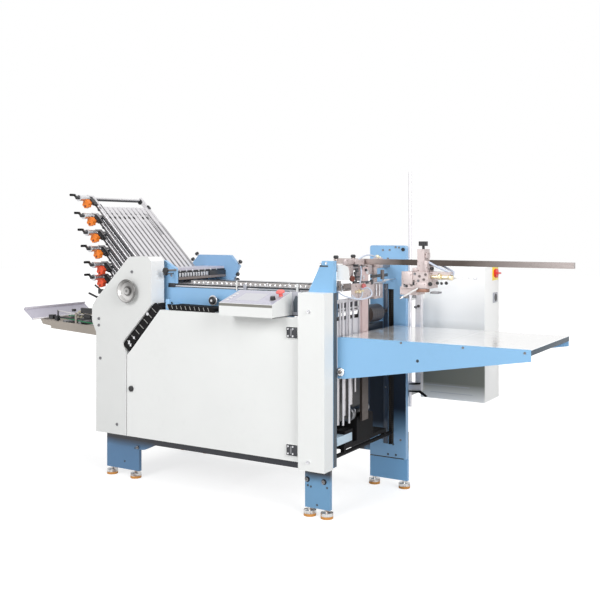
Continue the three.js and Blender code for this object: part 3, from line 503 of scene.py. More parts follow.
def moulded(name, colour, roughness=0.45, grain=0.6, wear=0.1):
    """Moulded plastic or rubber with a fine spark-eroded grain."""
    rubbed = tuple(0.5 * channel + 0.12 for channel in colour)
    material, tree, shader, look, worn = varied(
        name, "coat_grain", "Shade", {"Grain": grain}, colour, 0.85, 1.1, rubbed, wear)
    level = ramp_node(tree, worn, 0, 1, roughness, min(1, roughness + 0.2))
    tree.links.new(level, shader["Roughness"])
    bump(tree, shader, look["Height"], 0.3, 0.0005)
    return material


def along(material, axis, begin, full):
    """Goes from 0 to 1 between two places of the drawing along X, Y or Z, in millimetres."""
    tree = material.node_tree
    index = "XYZ".index(axis)
    split = tree.nodes.new("ShaderNodeSeparateXYZ")
    tree.links.new(object_place(tree), split.inputs[0])
    span = tree.nodes.new("ShaderNodeMapRange")
    span.inputs["From Min"].default_value = at(begin, begin, begin)[index]
    span.inputs["From Max"].default_value = at(full, full, full)[index]
    tree.links.new(split.outputs[axis], span.inputs["Value"])
    return span.outputs["Result"]


def facing(material, axis, sign):
    """Where a surface of the solid looks along X, Y or Z."""
    tree = material.node_tree
    split = tree.nodes.new("ShaderNodeSeparateXYZ")
    tree.links.new(tree.nodes.new("ShaderNodeNewGeometry").outputs["Normal"], split.inputs[0])
    return math_node(tree, "GREATER_THAN", math_node(tree, "MULTIPLY", split.outputs[axis], sign), 0.6)


def recoloured(material, colour, *shares):
    """Lays another colour over the finish where all the shares are 1."""
    tree = material.node_tree
    share = shares[0]
    for other in shares[1:]:
        share = math_node(tree, "MULTIPLY", share, other)
    shader = tree.nodes["Principled BSDF"].inputs
    base = shader["Base Color"].links[0].from_socket
    tree.links.new(mix_colour(tree, share, base, colour), shader["Base Color"])


def bands(material, axis, scale, colour, strength):
    """Lays even bands across one direction of the solid."""
    tree = material.node_tree
    wave = wave_node(tree, object_place(tree), axis, scale)
    recoloured(material, colour, ramp_node(tree, wave, 0.35, 0.6), strength)


def foot_finish():
    """Levelling foot: amber pad at the bottom, bright disc and threaded stem above it."""
    material, tree, shader, place = new_material("foot_finish")
    pad_height = 0.0115
    split = tree.nodes.new("ShaderNodeSeparateXYZ")
    tree.links.new(place, split.inputs[0])
    lines = use_group(tree, "brushed_lines", place, Depth=0.3)["Lines"]
    edge = math_node(tree, "GREATER_THAN", split.outputs["Z"], pad_height)
    chrome = mix_colour(tree, lines, (0.5, 0.49, 0.48), (0.85, 0.84, 0.82))
    amber = mix_colour(tree, lines, (0.55, 0.22, 0.04), (0.72, 0.34, 0.08))
    dark = ramp_node(tree, noise_node(tree, place, 34, 2), 0.5, 0.62)
    chrome = mix_colour(tree, math_node(tree, "MULTIPLY", dark, 0.85), chrome, (0.24, 0.17, 0.14))
    tree.links.new(mix_colour(tree, edge, amber, chrome), shader["Base Color"])
    tree.links.new(math_node(tree, "MULTIPLY", edge, 0.6), shader["Metallic"])
    tree.links.new(ramp_node(tree, edge, 0, 1, 0.5, 0.16), shader["Roughness"])
    bump(tree, shader, wave_node(tree, place, "Z", 260), 0.15, 0.0003)


def wheel_finish():
    """Turned handwheel: light and dark rings about its axis, partly turning and partly painted highlight
    and shade, and a painted reflection that makes the dish darker towards the upper right.
    """
    material, tree, shader, place = new_material("wheel_steel")
    low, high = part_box("handwheel")
    middle = (low + high) / 2
    inside = vector_node(tree, "SUBTRACT", place, (middle.x, 0, middle.z))
    flat = vector_node(tree, "MULTIPLY", inside, (1, 0, 1))
    reach = vector_node(tree, "LENGTH", flat)
    turned = use_group(tree, "brushed_lines", place, Depth=0.3)
    # Painted reflection: the dish is darker towards the upper right and lighter towards the lower left.
    side = vector_node(tree, "DOT_PRODUCT", flat, (-0.7, 0, -0.7))
    lit = math_node(tree, "ADD", math_node(tree, "MULTIPLY", side, 14.0), 0.5)
    dish = mix_colour(tree, ramp_node(tree, lit, 0.15, 0.85), (0.22, 0.215, 0.21), (0.70, 0.69, 0.68))
    # Rings about the axis: turning marks with painted highlight and shade.
    rings = ramp_node(tree, math_node(tree, "MULTIPLY", reach, 16.0), 0.1, 0.95, 0.3, 0.55)
    steps = ((0.12, 0.95), (0.26, 1.0), (0.3, 0.15), (0.38, 0.2), (0.44, 1.0), (0.8, 1.0), (0.85, 0.35))
    for spot, level in steps:
        rings.node.color_ramp.elements.new(spot).color = (level, level, level, 1)
    shade = mix_colour(tree, rings, (0.05, 0.047, 0.045), dish)
    glint = math_node(tree, "MULTIPLY", turned["Lines"], 0.35)
    tree.links.new(mix_colour(tree, glint, shade, (0.35, 0.345, 0.34)), shader["Base Color"])
    tree.links.new(ramp_node(tree, turned["Lines"], 0.3, 0.7, 0.26, 0.42), shader["Roughness"])
    shader["Metallic"].default_value = 0.55
    bump(tree, shader, turned["Height"], 0.12, 0.0004)


def frame_finishes(blue):
    """Enamels of the frame, as darker copies of the frame blue: painted shade where the covers and the
    table shade it, painted light on the rear legs.
    """
    # The legs and beams: a darker copy of the frame blue, as painted shade.
    legs = painted("base_enamel", tint(blue, 0.52, 0.61, 0.64), 0.36, 0.3, 0.2, 0.12)
    painted_shade = (0.013, 0.015, 0.026)
    # Painted light: the legs are lighter towards the rear.
    recoloured(legs, tint(blue, 0.70, 0.85, 0.92), along(legs, "Y", 100, 160))
    # Painted shade: the legs are darker towards the left.
    recoloured(legs, (0.09, 0.21, 0.385), along(legs, "X", -200, -700))
    # Painted shade, near-black: at the top under the covers, and on the front beam between the legs.
    recoloured(legs, painted_shade, along(legs, "Z", 150, 190))
    recoloured(legs, painted_shade, along(legs, "X", -640, -610), along(legs, "X", 285, 270),
               along(legs, "Z", 156, 160))
    # The rear side plate: a darker copy of the frame blue, as painted shade.
    painted("rear_side_enamel", tint(blue, 0.88, 0.83, 0.83), 0.33, 0.25, 0.35, 0.10)
    # The feeder's rear plate: a darker copy of the frame blue, as painted shade.
    plate = painted("rear_plate_enamel", tint(blue, 0.93), 0.36, 0.3, 0.1, 0.1)
    # Painted shade on its front face below the table.
    recoloured(plate, (0.012, 0.022, 0.042), along(plate, "Z", 790, 700), along(plate, "Z", 230, 380),
               facing(plate, "Y", -1))
    # Darker painted shade on its front face beside the rack's groove.
    recoloured(plate, (0.012, 0.020, 0.036), along(plate, "Z", 790, 700), along(plate, "Z", 220, 310),
               facing(plate, "Y", -1), along(plate, "X", 410, 375))
    tree = plate.node_tree
    teeth = wave_node(tree, object_place(tree), "Z", 34)
    rack = mix_colour(tree, teeth, (0.012, 0.012, 0.013), (0.05, 0.042, 0.038))
    recoloured(plate, rack, along(plate, "Y", 165.9, 166), along(plate, "Y", 190, 189.9),
               along(plate, "X", 403.9, 404), along(plate, "X", 434.1, 434))


def cover_finishes(white, lilac):
    """Powder coats of covers and cabinet with painted light and shade, control box with painted shade on
    its front lip, catch board with painted light.
    """
    # The left cover: a darker copy of the cover white as painted shade, with painted light on the faces
    # that look along +X.
    end = painted("end_cover_coat", tint(white, 0.9), 0.42, 0.5, 0.1, 0.05)
    recoloured(end, (0.98, 0.985, 0.98), facing(end, "X", 1))
    box = painted("box_coat", white, 0.42, 0.5, 0.1, 0.05)
    # Painted shade: a dark band along the front lip.
    recoloured(box, (0.20, 0.195, 0.17), along(box, "Y", -591.5, -591.8),
               along(box, "Z", 911.5, 912.5), along(box, "Z", 924.5, 923.5))
    cabinet = painted("cabinet_coat", (0.995, 1.0, 0.985), 0.48, 0.4, 0.03, 0.03)
    # Painted shade: the front face is darker below the table.
    recoloured(cabinet, (0.18, 0.185, 0.16), along(cabinet, "Z", 800, 640),
               along(cabinet, "Z", 410, 485), along(cabinet, "Y", 396, 391))
    board = painted("board_coat", lilac, 0.34, 0.3, 0.2, 0.08)
    # Painted light: the faces that look along +X are lighter.
    recoloured(board, (1.0, 0.97, 1.0), facing(board, "X", 1))
    apron = painted("apron_enamel", (0.15, 0.145, 0.15), 0.45, 0.3, 0.2, 0.1)
    recoloured(apron, (0.03, 0.027, 0.025), along(apron, "Z", 560, 460))


def slat_finish():
    """Satin slats of the fold plates, with a painted shade line along each gap between the slats, below the
    slots.
    """
    slats = painted("slat_satin", (0.69, 0.675, 0.695), 0.34, 0.15, 0.2, 0.04)
    tree = slats.node_tree
    count = math_node(tree, "MULTIPLY", along(slats, "Y", -328.7, 34.7), 10.0)
    centred = math_node(tree, "SUBTRACT", math_node(tree, "FRACT", count, 0.0), 0.5)
    # Painted shade along each gap between the slats.
    seam = ramp_node(tree, math_node(tree, "ABSOLUTE", centred, 0.0), 0.27, 0.36)
    recoloured(slats, (0.16, 0.15, 0.16), seam, 0.62, along(slats, "Z", 1295, 1262))


def metal_finishes():
    """Bare metals whose colour changes along the solid that they cover."""
    rail = steel("rail_steel", (0.075, 0.062, 0.055), 0.34, 0.5)
    # Painted reflection: the rail is dark in the middle and lighter towards both ends.
    recoloured(rail, (0.36, 0.32, 0.31), along(rail, "X", 900, 1376))
    recoloured(rail, (0.42, 0.36, 0.34), along(rail, "X", 620, 470))
    gauge = steel("gauge_steel", (0.60, 0.59, 0.62), 0.4, 0.35, 0.6)
    recoloured(gauge, (0.62, 0.48, 0.47), along(gauge, "Y", -196, -194.5))
    recoloured(gauge, (0.075, 0.058, 0.05), along(gauge, "Z", 660, 600), along(gauge, "Y", -196, -194.5))
    sheet = steel("table_sheet", (1.0, 0.985, 0.965), 0.14, 0.2, 0.62, 0.03)
    recoloured(sheet, (0.25, 0.48, 0.72), facing(sheet, "Y", -1))
    cast = steel("machined_block", (0.60, 0.515, 0.505), 0.46, 0.5, 0.35)
    tree = cast.node_tree
    pores = noise_node(tree, object_place(tree), 95, 2)
    recoloured(cast, (0.22, 0.15, 0.14), ramp_node(tree, pores, 0.62, 0.68))
    roller = moulded("ring_rubber", (0.02, 0.02, 0.024), 0.5, 0.5, 0.1)
    bands(roller, "Y", 22, (0.34, 0.34, 0.37), 0.9)
    drum = painted("drum_enamel", (0.015, 0.015, 0.018), 0.42, 0.4, 0.2, 0.2)
    bands(drum, "Y", 17, (0.10, 0.075, 0.065), 0.8)


# Colour, roughness, grain, clear coat and wear of the plain paints
PAINTS = {
    "trough_coat": ((0.39, 0.345, 0.30), 0.4, 0.3, 0.2, 0.15),
    "dark_enamel": ((0.02, 0.022, 0.028), 0.42, 0.4, 0.2, 0.2),
    "bracket_coat": ((0.42, 0.43, 0.48), 0.4, 0.3, 0.2, 0.1),
    "panel_face": ((0.50, 0.49, 0.585), 0.28, 0.2, 0.3, 0.03),
    "panel_pale": ((0.56, 0.56, 0.60), 0.3, 0.2, 0.3, 0.03),
    "yellow_enamel": ((0.95, 0.72, 0.03), 0.35, 0.3, 0.2, 0.05),
    "light_blue_enamel": ((0.52, 0.66, 0.76), 0.4, 0.3, 0.2, 0.1),
    "navy_enamel": ((0.03, 0.05, 0.085), 0.4, 0.3, 0.2, 0.1),
    "brown_enamel": ((0.17, 0.14, 0.13), 0.4, 0.3, 0.2, 0.2),
    # A near-black sheet under the fold plates' slats, as painted shade.
    "plate_backing": ((0.03, 0.028, 0.03), 0.5, 0.2, 0.1, 0.05),
}
# Colour, roughness and line depth of the plain metals, then how metallic and how worn
METALS = {
    "bright_steel": ((0.66, 0.66, 0.68), 0.3, 0.35),
    "plate_steel": ((0.62, 0.60, 0.61), 0.32, 0.4),
    "mast_steel": ((0.80, 0.78, 0.81), 0.36, 0.3, 0.35, 0.05),
    "rib_steel": ((0.50, 0.50, 0.48), 0.4, 0.3, 0.6),
    "dull_steel": ((0.22, 0.22, 0.23), 0.42, 0.5),
    "ball_rail_steel": ((0.42, 0.40, 0.39), 0.36, 0.4),
    "brass_pale": ((0.80, 0.70, 0.48), 0.3, 0.3),
    "copper_brown": ((0.30, 0.165, 0.12), 0.42, 0.3, 0.5),
    "chrome": ((0.85, 0.85, 0.86), 0.08, 0.1, 1.0, 0.04),
}
# Colour, roughness, grain and wear of plastics and rubbers
MOULDINGS = {
    "black_plastic": ((0.014, 0.014, 0.016), 0.42, 0.6, 0.1),
    "knob_dark": ((0.16, 0.035, 0.02), 0.4, 0.4, 0.1),
    "slate_rubber": ((0.07, 0.09, 0.11), 0.6, 0.6, 0.1),
    "rubber_black": ((0.004, 0.0035, 0.004), 0.75, 0.9, 0.05),
    "salmon_plastic": ((0.62, 0.17, 0.17), 0.4, 0.3, 0.06),
    "knob_red_orange": ((0.85, 0.095, 0.03), 0.35, 0.3, 0.06),
    "signal_red": ((0.78, 0.03, 0.03), 0.3, 0.2, 0.04),
    "stop_red": ((0.95, 0.17, 0.15), 0.25, 0.2, 0.04),
    "wheel_cream": ((0.72, 0.66, 0.5), 0.6, 0.6, 0.2),
    "belt_green": ((0.03, 0.22, 0.1), 0.6, 0.6, 0.2),
    "hose_clear": ((0.6, 0.66, 0.78), 0.25, 0.2, 0.05),
    "hose_white": ((0.80, 0.80, 0.79), 0.35, 0.2, 0.05),
}


def make_finishes():
    """All the materials of the machine."""
    make_groups()
    blue, white = tuple(colours().frame_blue), tuple(colours().cover_white)
    lilac = tuple(colours().panel_lilac)
    painted("frame_enamel", blue, 0.33, 0.25, 0.35, 0.10)
    # The feeder's plates and table: a darker copy of the frame blue, as painted shade.
    painted("feeder_enamel", tint(blue, 0.87, 0.93, 0.93), 0.33, 0.25, 0.35, 0.08)
    painted("cover_coat", white, 0.42, 0.5, 0.1, 0.05)
    painted("panel_coat", lilac, 0.3, 0.2, 0.3, 0.08)
    moulded("knob_orange", tuple(colours().knob_orange), 0.35, 0.3, 0.06)
    for maker, table in ((painted, PAINTS), (steel, METALS), (moulded, MOULDINGS)):
        for name, values in table.items():
            maker(name, *values)
    rubber = finishes["rubber_black"].node_tree.nodes["Principled BSDF"]
    rubber.inputs["Specular IOR Level"].default_value = 0.2
    frame_finishes(blue)
    cover_finishes(white, lilac)
    slat_finish()
    metal_finishes()
    wheel_finish()
    foot_finish()


NODE_FINISH = {
    "base_frame": "base_enamel", "side_plate_front": "frame_enamel", "side_plate_rear": "rear_side_enamel",
    "feeder_plate_front": "feeder_enamel", "feeder_plate_rear": "rear_plate_enamel",
    "feed_table": "feeder_enamel", "drive_housing": "cover_coat", "left_cover": "end_cover_coat",
    "column_cover": "cover_coat", "front_door": "cover_coat", "control_box": "box_coat",
    "control_cabinet": "cabinet_coat", "door_lock": "black_plastic", "handwheel": "wheel_steel",
    "fold_roller": "bright_steel", "infeed_roller": "ring_rubber", "infeed_lid": "panel_coat",
    "register_table": "bright_steel", "ball_rail": "ball_rail_steel", "register_knob": "black_plastic",
    "speed_knob": "black_plastic", "stop_button": "stop_red", "feed_rail": "rail_steel",
    "suction_head": "machined_block", "head_clamp_knob": "black_plastic", "table_top": "table_sheet",
    "front_gauge": "gauge_steel", "feed_drum": "drum_enamel", "lift_drive": "rubber_black",
    "delivery_trough": "trough_coat", "delivery_wheel": "wheel_cream", "delivery_board": "board_coat",
    "main_switch": "signal_red", "rear_mast": "mast_steel",
}


class FOLDER_OT_finishes(bpy.types.Operator):
    """Give every solid of the machine its finish"""

    bl_idname = "folder.finishes"
    bl_label = "Finishes"

    def execute(self, context):
        make_finishes()
        chosen = dict(NODE_FINISH)
        for number in range(1, 7):
            chosen[f"fold_plate_{number}"] = "slat_satin"
            chosen[f"stop_crank_{number}"] = "black_plastic"
            chosen[f"plate_knob_{number}"] = "knob_orange" if number < 5 else "knob_red_orange"
        for name, node in solids.items():
            finish = "foot_finish" if name.startswith("foot_") else chosen[name]
            node.data.materials.clear()
            node.data.materials.append(finishes[finish])
        return {"FINISHED"}


# Fittings of the covers


class FOLDER_OT_cover_screws(bpy.types.Operator):
    """Cap screws and studs of the left cover and the column cover"""

    bl_idname = "folder.cover_screws"
    bl_label = "Cover screws"

    def execute(self, context):
        radius = sizes().screw_radius
        left = ((-876, 804), (-876, 771), (-866, 608), (-756, 290), (-660, 1042))
        screws_at("left_cover_screws", [(x, COVER_FACE, z) for x, z in left], radius * 1.25, 0.003,
                  "dull_steel")
        studs = [(354, COLUMN_FACE, 899), (350, COLUMN_FACE, 256)]
        screws_at("column_cover_studs", studs, radius * 1.2, 0.009)
        # A dark slate strip along the feeder plate's edge beside the column cover.
        made_of_blocks("column_edge_seal", "slate_rubber", (430.1, -432.5, 224, 431.6, -405.5, 974, 0.0005))
        return {"FINISHED"}


class FOLDER_OT_door_hinges(bpy.types.Operator):
    """Dark hinge plates over the door's leaves, with four screws each"""

    bl_idname = "folder.door_hinges"
    bl_label = "Door hinges"

    def execute(self, context):
        plate = boxes((231, DOOR_FACE, 778, 285, -493.1, 825, 0.0005))
        web = boxes((250, -496, 785, 258, -494.6, 818, 0.0005))
        drop = at(0, 0, 268) - at(0, 0, 778)
        plates = plate + [copied(plate[0], drop)]
        webs = web + [copied(web[0], drop)]
        made("hinge_plates", "dark_enamel", plates, "door")
        made("hinge_webs", "dull_steel", webs, "door")
        places = [(x, DOOR_FACE, z + level) for level in (0, -510) for x in (240, 264) for z in (786, 817)]
        screws_at("hinge_screws", places, 0.004, 0.0018, body="door")
        return {"FINISHED"}


class FOLDER_OT_guard_strip(bpy.types.Operator):
    """Black ribbed strip in the gap between the left cover and the door"""

    bl_idname = "folder.guard_strip"
    bl_label = "Ribbed guard strip"

    def execute(self, context):
        near, far, back_end = -478, -464, -364.2
        # Begin, end, half the width, share of the pitch and lean of the ribs
        runs = (
            ((-708, 665), (-500, 884), 26, 1.4, -0.25),
            ((-444, 880), (-178, 876), 13.5, 1.0, -0.9),
        )
        pitch = sizes().rib_pitch * 1000
        ribs, edges, backs = [], [], []

        def plate(parts, corners, low, high, edge):
            parts.append(outline_plate([(p.x, p.z) for p in corners], "y", low, high, edge))

        for (x0, z0), (x1, z1), half, wide, lean in runs:
            begin, end = Vector((x0, 0, z0)), Vector((x1, 0, z1))
            length = math.hypot(x1 - x0, z1 - z0)
            way = Vector(((x1 - x0) / length, 0, (z1 - z0) / length))
            across = Vector((-way.z, 0, way.x))
            count = round(length / (pitch * wide))
            for step in range(count):
                centre = begin + way * (step + 0.5) * length / count
                toe, tip, *rest = (
                    centre + across * half * side
                    + way * (share * length / count + lean * half * side * 0.5)
                    for side, share in ((-1, -0.49), (1, -0.44), (1, 0.4), (-1, 0.49)))
                plate(ribs, [toe, tip, *rest], near, far, 0.002)
                thin = way * 2.2
                upper, lower = tip * 0.85 + toe * 0.15, toe * 0.75 + tip * 0.25
                corners = [upper, upper + thin, lower + thin, lower]
                plate(edges, corners, near - 1.5, near + 2, 0)
            back = across * half * 0.6
            corners = [begin - back, begin + back, end + back, end - back]
            plate(backs, corners, far - 2, back_end, 0.001)
        made("guard_ribs", "rubber_black", ribs)
        made("guard_rib_edges", "rib_steel", edges)
        made("guard_back", "rubber_black", backs)
        made_of_blocks("guard_corner", "frame_enamel",
            (-470, -462, 862, -448, -446, 915, 0.002), (-464, -448, 866, -452, back_end, 890, 0.002))
        clips = boxes(
            (-688, -482, 688, -676, -477, 706), (-678, -482, 678, -668, -477, 692),
            (-656, -482, 716, -646, -477, 728))
        pin = bars((-566, -482, 841, -566, -470, 841, 0.008))
        made("guard_clips", "bright_steel", clips + pin)
        return {"FINISHED"}


# Fittings of the fold plates

PLATE_SHARES = (0, 0.244, 0.461, 0.666, 0.871, 1)
PLATES = [(1758 - 358 * share, -246 + 43 * index) for index, share in enumerate(PLATE_SHARES)]
PLATE_INNER = 1178
PLATE_NEAR, PLATE_FAR = -343.7, 49.7
PLATE_TURN = math.radians(-135)


def pack_at(reach, y, level):
    """A point of the slanted plate pack: reach outwards along the plates, level from plate to plate."""
    slope = math.sqrt(0.5)
    return at(-slope * (reach + level), y, slope * (reach - level))


def pack_block(low, high, edge=0.0008):
    """A bevelled block whose faces follow the slanted plates."""
    start()
    centre = pack_at(*((a + b) / 2 for a, b in zip(low, high)))
    size = [(b - a) / 1000 for a, b in zip(low, high)]
    bpy.ops.mesh.primitive_cube_add(size=1, location=centre, rotation=(0, PLATE_TURN, 0), scale=size)
    return bevelled(settle(bpy.context.object), edge, 1)


def pack_bar(begin, end, *finish):
    """A round bar between two points of the plate pack."""
    return round_bar(pack_at(*begin), pack_at(*end), *finish)


class FOLDER_OT_plate_slots(bpy.types.Operator):
    """Two rows of dark slots near the top of the outermost fold plate, and the dark cross bar at its end"""

    bl_idname = "folder.plate_slots"
    bl_label = "Fold plate slots and cross bar"

    def execute(self, context):
        reach, level = PLATES[0]
        face = level - 11.7
        pitch, side = 36.3, PLATE_NEAR + 8
        rows = (
            ("plate_slots_upper", reach - 138, 9, 11, range(9), "dull_steel"),
            ("plate_slots", reach - 172, 17, 12, (0, 1, 2, 3, 4, 5, 7, 8), "black_plastic"),
        )
        for name, begin, length, width, numbers, finish in rows:
            first = pack_block((begin, side, face), (begin + length, side + width, face + 1.4), 0.003)
            rest = [copied(first, (0, pitch * number / 1000, 0)) for number in numbers if number]
            made(name, finish, [first, *rest])
        first = pack_block((PLATE_INNER + 290, PLATE_FAR - 62, face),
                           (reach - 130, PLATE_FAR - 58, face + 1), 0.0006)
        made("plate_guides", "dark_enamel", in_a_row(first, (0, -0.014, 0), 2))
        # A dark sheet under the slats: painted shade seen through the gaps.
        made("plate_backing", "plate_backing", [pack_block(
            (PLATE_INNER + 4, PLATE_NEAR + 14, level - 2.4),
            (reach - 84, PLATE_FAR - 14, level - 1.2), 0.0003)])

        end = reach - 14
        bar = pack_bar((end, PLATE_NEAR - 4, level + 7),
                       (end, PLATE_FAR - 16, level + 7), 0.0062)
        made("plate_cross_bar", "dark_enamel", [bar])
        grip = pack_bar((end - 4, PLATE_FAR - 22, level + 6),
                        (end - 4, PLATE_FAR, level + 6), 0.015, 0.004)
        clip = pack_block((reach - 92, PLATE_FAR - 16, face - 6),
                          (reach - 66, PLATE_FAR + 1, face + 4), 0.003)
        made("plate_bar_grip", "black_plastic", [grip, clip])
        return {"FINISHED"}


class FOLDER_OT_plate_rods(bpy.types.Operator):
    """Dark deflector rods and bright adjusting rods along the near side of each fold plate"""

    bl_idname = "folder.plate_rods"
    bl_label = "Fold plate rods"

    def execute(self, context):
        dark, bright, bridges, shadows = [], [], [], []
        inner, near = PLATE_INNER, PLATE_NEAR
        for number, (reach, level) in enumerate(PLATES, 1):
            dark.append(pack_block(
                (inner, near - 2.5, level + 4), (reach - 60, near - 0.3, level + 8.5)))
            bright.append(pack_bar(
                (inner, near - 4, level - 6),
                (reach - 70, near - 4, level - 6), 0.003, 0))
            bridges.append(pack_block(
                (reach - 96, near - 6, level - 11), (reach - 84, near - 0.3, level + 11)))
            if number < len(PLATES):
                end = PLATES[number][0] - 40
                shadows.append(pack_block(
                    (inner, near + 1, level + 13), (end, near + 4, level + 30)))
                bright.append(pack_bar(
                    (inner, near - 1, level + 21),
                    (end - 20, near - 1, level + 21), 0.0022, 0))
        reach, level = PLATES[0]
        dark.append(pack_block(
            (inner, near + 12, level - 13), (reach - 64, near + 18, level - 11)))
        made("plate_dark_rails", "dark_enamel", dark)
        made("plate_shadow_rails", "dark_enamel", shadows)
        made("plate_bright_rods", "bright_steel", bright)
        made("plate_bridges", "dark_enamel", bridges)
        return {"FINISHED"}


class FOLDER_OT_stop_fittings(bpy.types.Operator):
    """Bright sleeves, black clamps and knob caps at the operator's end of each fold plate"""

    bl_idname = "folder.stop_fittings"
    bl_label = "Stop fittings"

    def execute(self, context):
        for number, (reach, level) in enumerate(PLATES, 1):
            axis = reach - 12
            made(f"stop_sleeve_{number}", "bright_steel", [
                pack_bar((axis, -372.6, level), (axis, -428, level), 0.0142, 0.0015),
                pack_bar((axis, -428, level), (axis, -440, level), 0.0165, 0.0015),
                pack_block((reach - 26, -378, level - 14),
                           (reach + 2, -372.4, level + 14), 0.001),
            ])
            made(f"stop_clamp_{number}", "black_plastic", [
                pack_block((reach - 70, -376, level - 14), (reach - 10, -350, level - 2), 0.0015),
                pack_block((reach - 60, -380, level - 16), (reach - 28, -366, level - 3), 0.0015),
            ])
            out, up = reach - 49, level + 20
            made(f"plate_knob_cap_{number}", "knob_dark", [
                pack_bar((out, -402.6, up), (out, -406, up), 0.0055, 0.001),
                pack_bar((out, -406.6, up), (out, -406, up), 0.003, 0),
            ], f"plate_knob_{number}")
            grip = pack_bar((axis + 22, -458, level), (axis + 22, -483, level), 0.0062, 0.001)
            made(f"crank_grip_{number}", "rubber_black", [grip], f"stop_crank_{number}")
        levers = bars((-999, -385, 962, -962, -385, 940, 0.0045))
        levers += boxes((-972, -392, 918, -940, -366, 942, 0.002))
        levers += bars(
            (-1041, -385, 919, -985, -385, 900, 0.0055), (-988, -385, 902, -902, -385, 905, 0.0045),
            (-956, -385, 930, -902, -385, 905, 0.006))
        made("wing_bolts", "black_plastic", levers)
        return {"FINISHED"}


# Fittings of the fold unit's top


class FOLDER_OT_hump_knobs(bpy.types.Operator):
    """Black star knobs on the edges of the blue side plates"""

    bl_idname = "folder.hump_knobs"
    bl_label = "Side plate knobs"

    def execute(self, context):
        small = (0.0115, 0.012, 0.018)
        knobs = (
            ((-666, 60, 1100), (-0.7, 0, 0.72), small), ((-694, 60, 1070), (-0.7, 0, 0.72), small),
            ((-415, 60, 1062), (0.7, 0, 0.72), small), ((-438, 60, 1016), (1, 0, -0.1), small),
            ((-436, 60, 998), (0.9, 0, -0.6), small), ((-546, -366, 1049), (-0.2, -1, 0), small),
            ((-562, -366, 1030), (-0.3, -1, -0.2), small),
            ((-486, -364.2, 1050), TOWARDS_FRONT, (0.016, 0.016, 0.07)),
            ((-502, -364.2, 1034), TOWARDS_FRONT, (0.010, 0.016, 0.05)),
        )
        pairs = [star_knob(at(*foot), direction, *size) for foot, direction, size in knobs]
        made("hump_knobs", "black_plastic", [head for head, stem in pairs])
        made("hump_knob_stems", "dull_steel", [stem for head, stem in pairs])
        return {"FINISHED"}


class FOLDER_OT_infeed_guides(bpy.types.Operator):
    """Bars, collars and carriers between the humps, under the lid"""

    bl_idname = "folder.infeed_guides"
    bl_label = "Infeed guides"

    def execute(self, context):
        near, far = -343, 49
        guides = boxes((-616, near, 1030, -600, far, 1046), (-560, near, 1000, -540, far, 1008),
                       (-640, near, 985, -600, far, 993))
        guides += bars((-590, near, 1012, -590, far, 1012, 0.012))
        made("infeed_bars", "dark_enamel", guides)
        rings = bars((-590, -330, 1012, -590, -318, 1012, 0.0165, 0.002))
        made("infeed_rings", "bright_steel", in_a_row(rings[0], (0, 0.028, 0), 10))
        made_of_blocks("lid_shade", "black_plastic",
            (-497, -341, 1034, -491.5, far, 1043.5, 0.0005), body="infeed_lid")
        clips = boxes((-490.5, -338, 1014, -486, -324, 1034))
        made("roller_clips", "bright_steel", in_a_row(clips[0], (0, 0.022, 0), 11))
        made_of_blocks("roller_sill", "brown_enamel", (-490.5, near, 1000, -484, far, 1013))
        made_of_blocks("roller_works", "dark_enamel", (-490.5, -90, 1013, -485, far, 1036))
        springs = boxes((-500, -330, 1038, -488, -322, 1049))
        made("lid_springs", "bright_steel", in_a_row(springs[0], (0, 0.05, 0), 7), "infeed_lid")
        return {"FINISHED"}


class FOLDER_OT_register_balls(bpy.types.Operator):
    """Row of bright balls in the ball rail, with the dark strips beside it"""

    bl_idname = "folder.register_balls"
    bl_label = "Register balls and strips"

    def execute(self, context):
        rail = "ball_rail"
        first = ball(at(-408, -317.5, 990), sizes().ball_radius * 0.72)
        made("register_balls", "chrome", in_a_row(first, (0.0275, 0, 0), 25), rail)
        made_of_blocks("rail_stop", "dark_enamel", (236, -317, 999.1, 294, -298, 1005, 0.0008), body=rail)
        made_of_blocks("ball_rail_strips", "dark_enamel",
            (-428, -295.9, 985.6, 294, -293, 1003.5, 0.0006), body=rail)
        clips = boxes((-340, -320, 986, -334, -318.1, 1000, 0.0006))
        made("ball_rail_clips", "bright_steel", in_a_row(clips[0], (0.118, 0, 0), 6), rail)
        made_of_blocks("register_rim_strips", "dark_enamel",
            (-489, -366.4, 976.5, 300, -364.1, 985, 0.0005),
            (-489, -366.0, 967.5, 300, -364.1, 970.5, 0.0005), (-530, -368, 966, -489, -364.1, 986, 0.0005))
        return {"FINISHED"}


class FOLDER_OT_register_brackets(bpy.types.Operator):
    """White uprights beside the register table, the grey bracket by the column and the knob's ring"""

    bl_idname = "folder.register_brackets"
    bl_label = "Register brackets"

    def execute(self, context):
        made_of_blocks("register_uprights", "cover_coat",
            (-125, -370, 962, -118, -366.6, 1008), (206, -374, 944, 217, -366.6, 1004))
        made_of_blocks("register_stop", "bracket_coat", (-84, -370, 968, -66, -366.6, 994))
        # Dark strips in the gap under the control box: painted shadow.
        made_of_blocks("box_gasket", "dark_enamel",
            (219.1, -590, 867, 220.6, -430, 869.6, 0.0003),
            (219.1, -431.2, 867, 264, -429.9, 869.6, 0.0003))
        made_of_blocks("slotted_bracket", "bracket_coat", (206, -429.9, 866, 266, -424, 974))
        # A dark strip in the gap under the slotted bracket: painted shadow.
        made_of_blocks("bracket_foot", "dark_enamel", (219.2, -429.8, 865.4, 286, -410, 867.6, 0.0003))
        slot = ((228, 884), (246, 884), (249, 952), (240, 958), (226, 930))
        made("bracket_slot", "slate_rubber", [outline_plate(slot, "y", -431, -429, 0.0002)])
        made_of_bars("register_knob_ring", "bright_steel",
            (-235, -396, 914, -235, -404, 914, 0.0245, 0.0015, 32),
            (-235, -412.1, 914, -235, -414, 914, 0.006, 0.0004), body="register_knob")
        return {"FINISHED"}


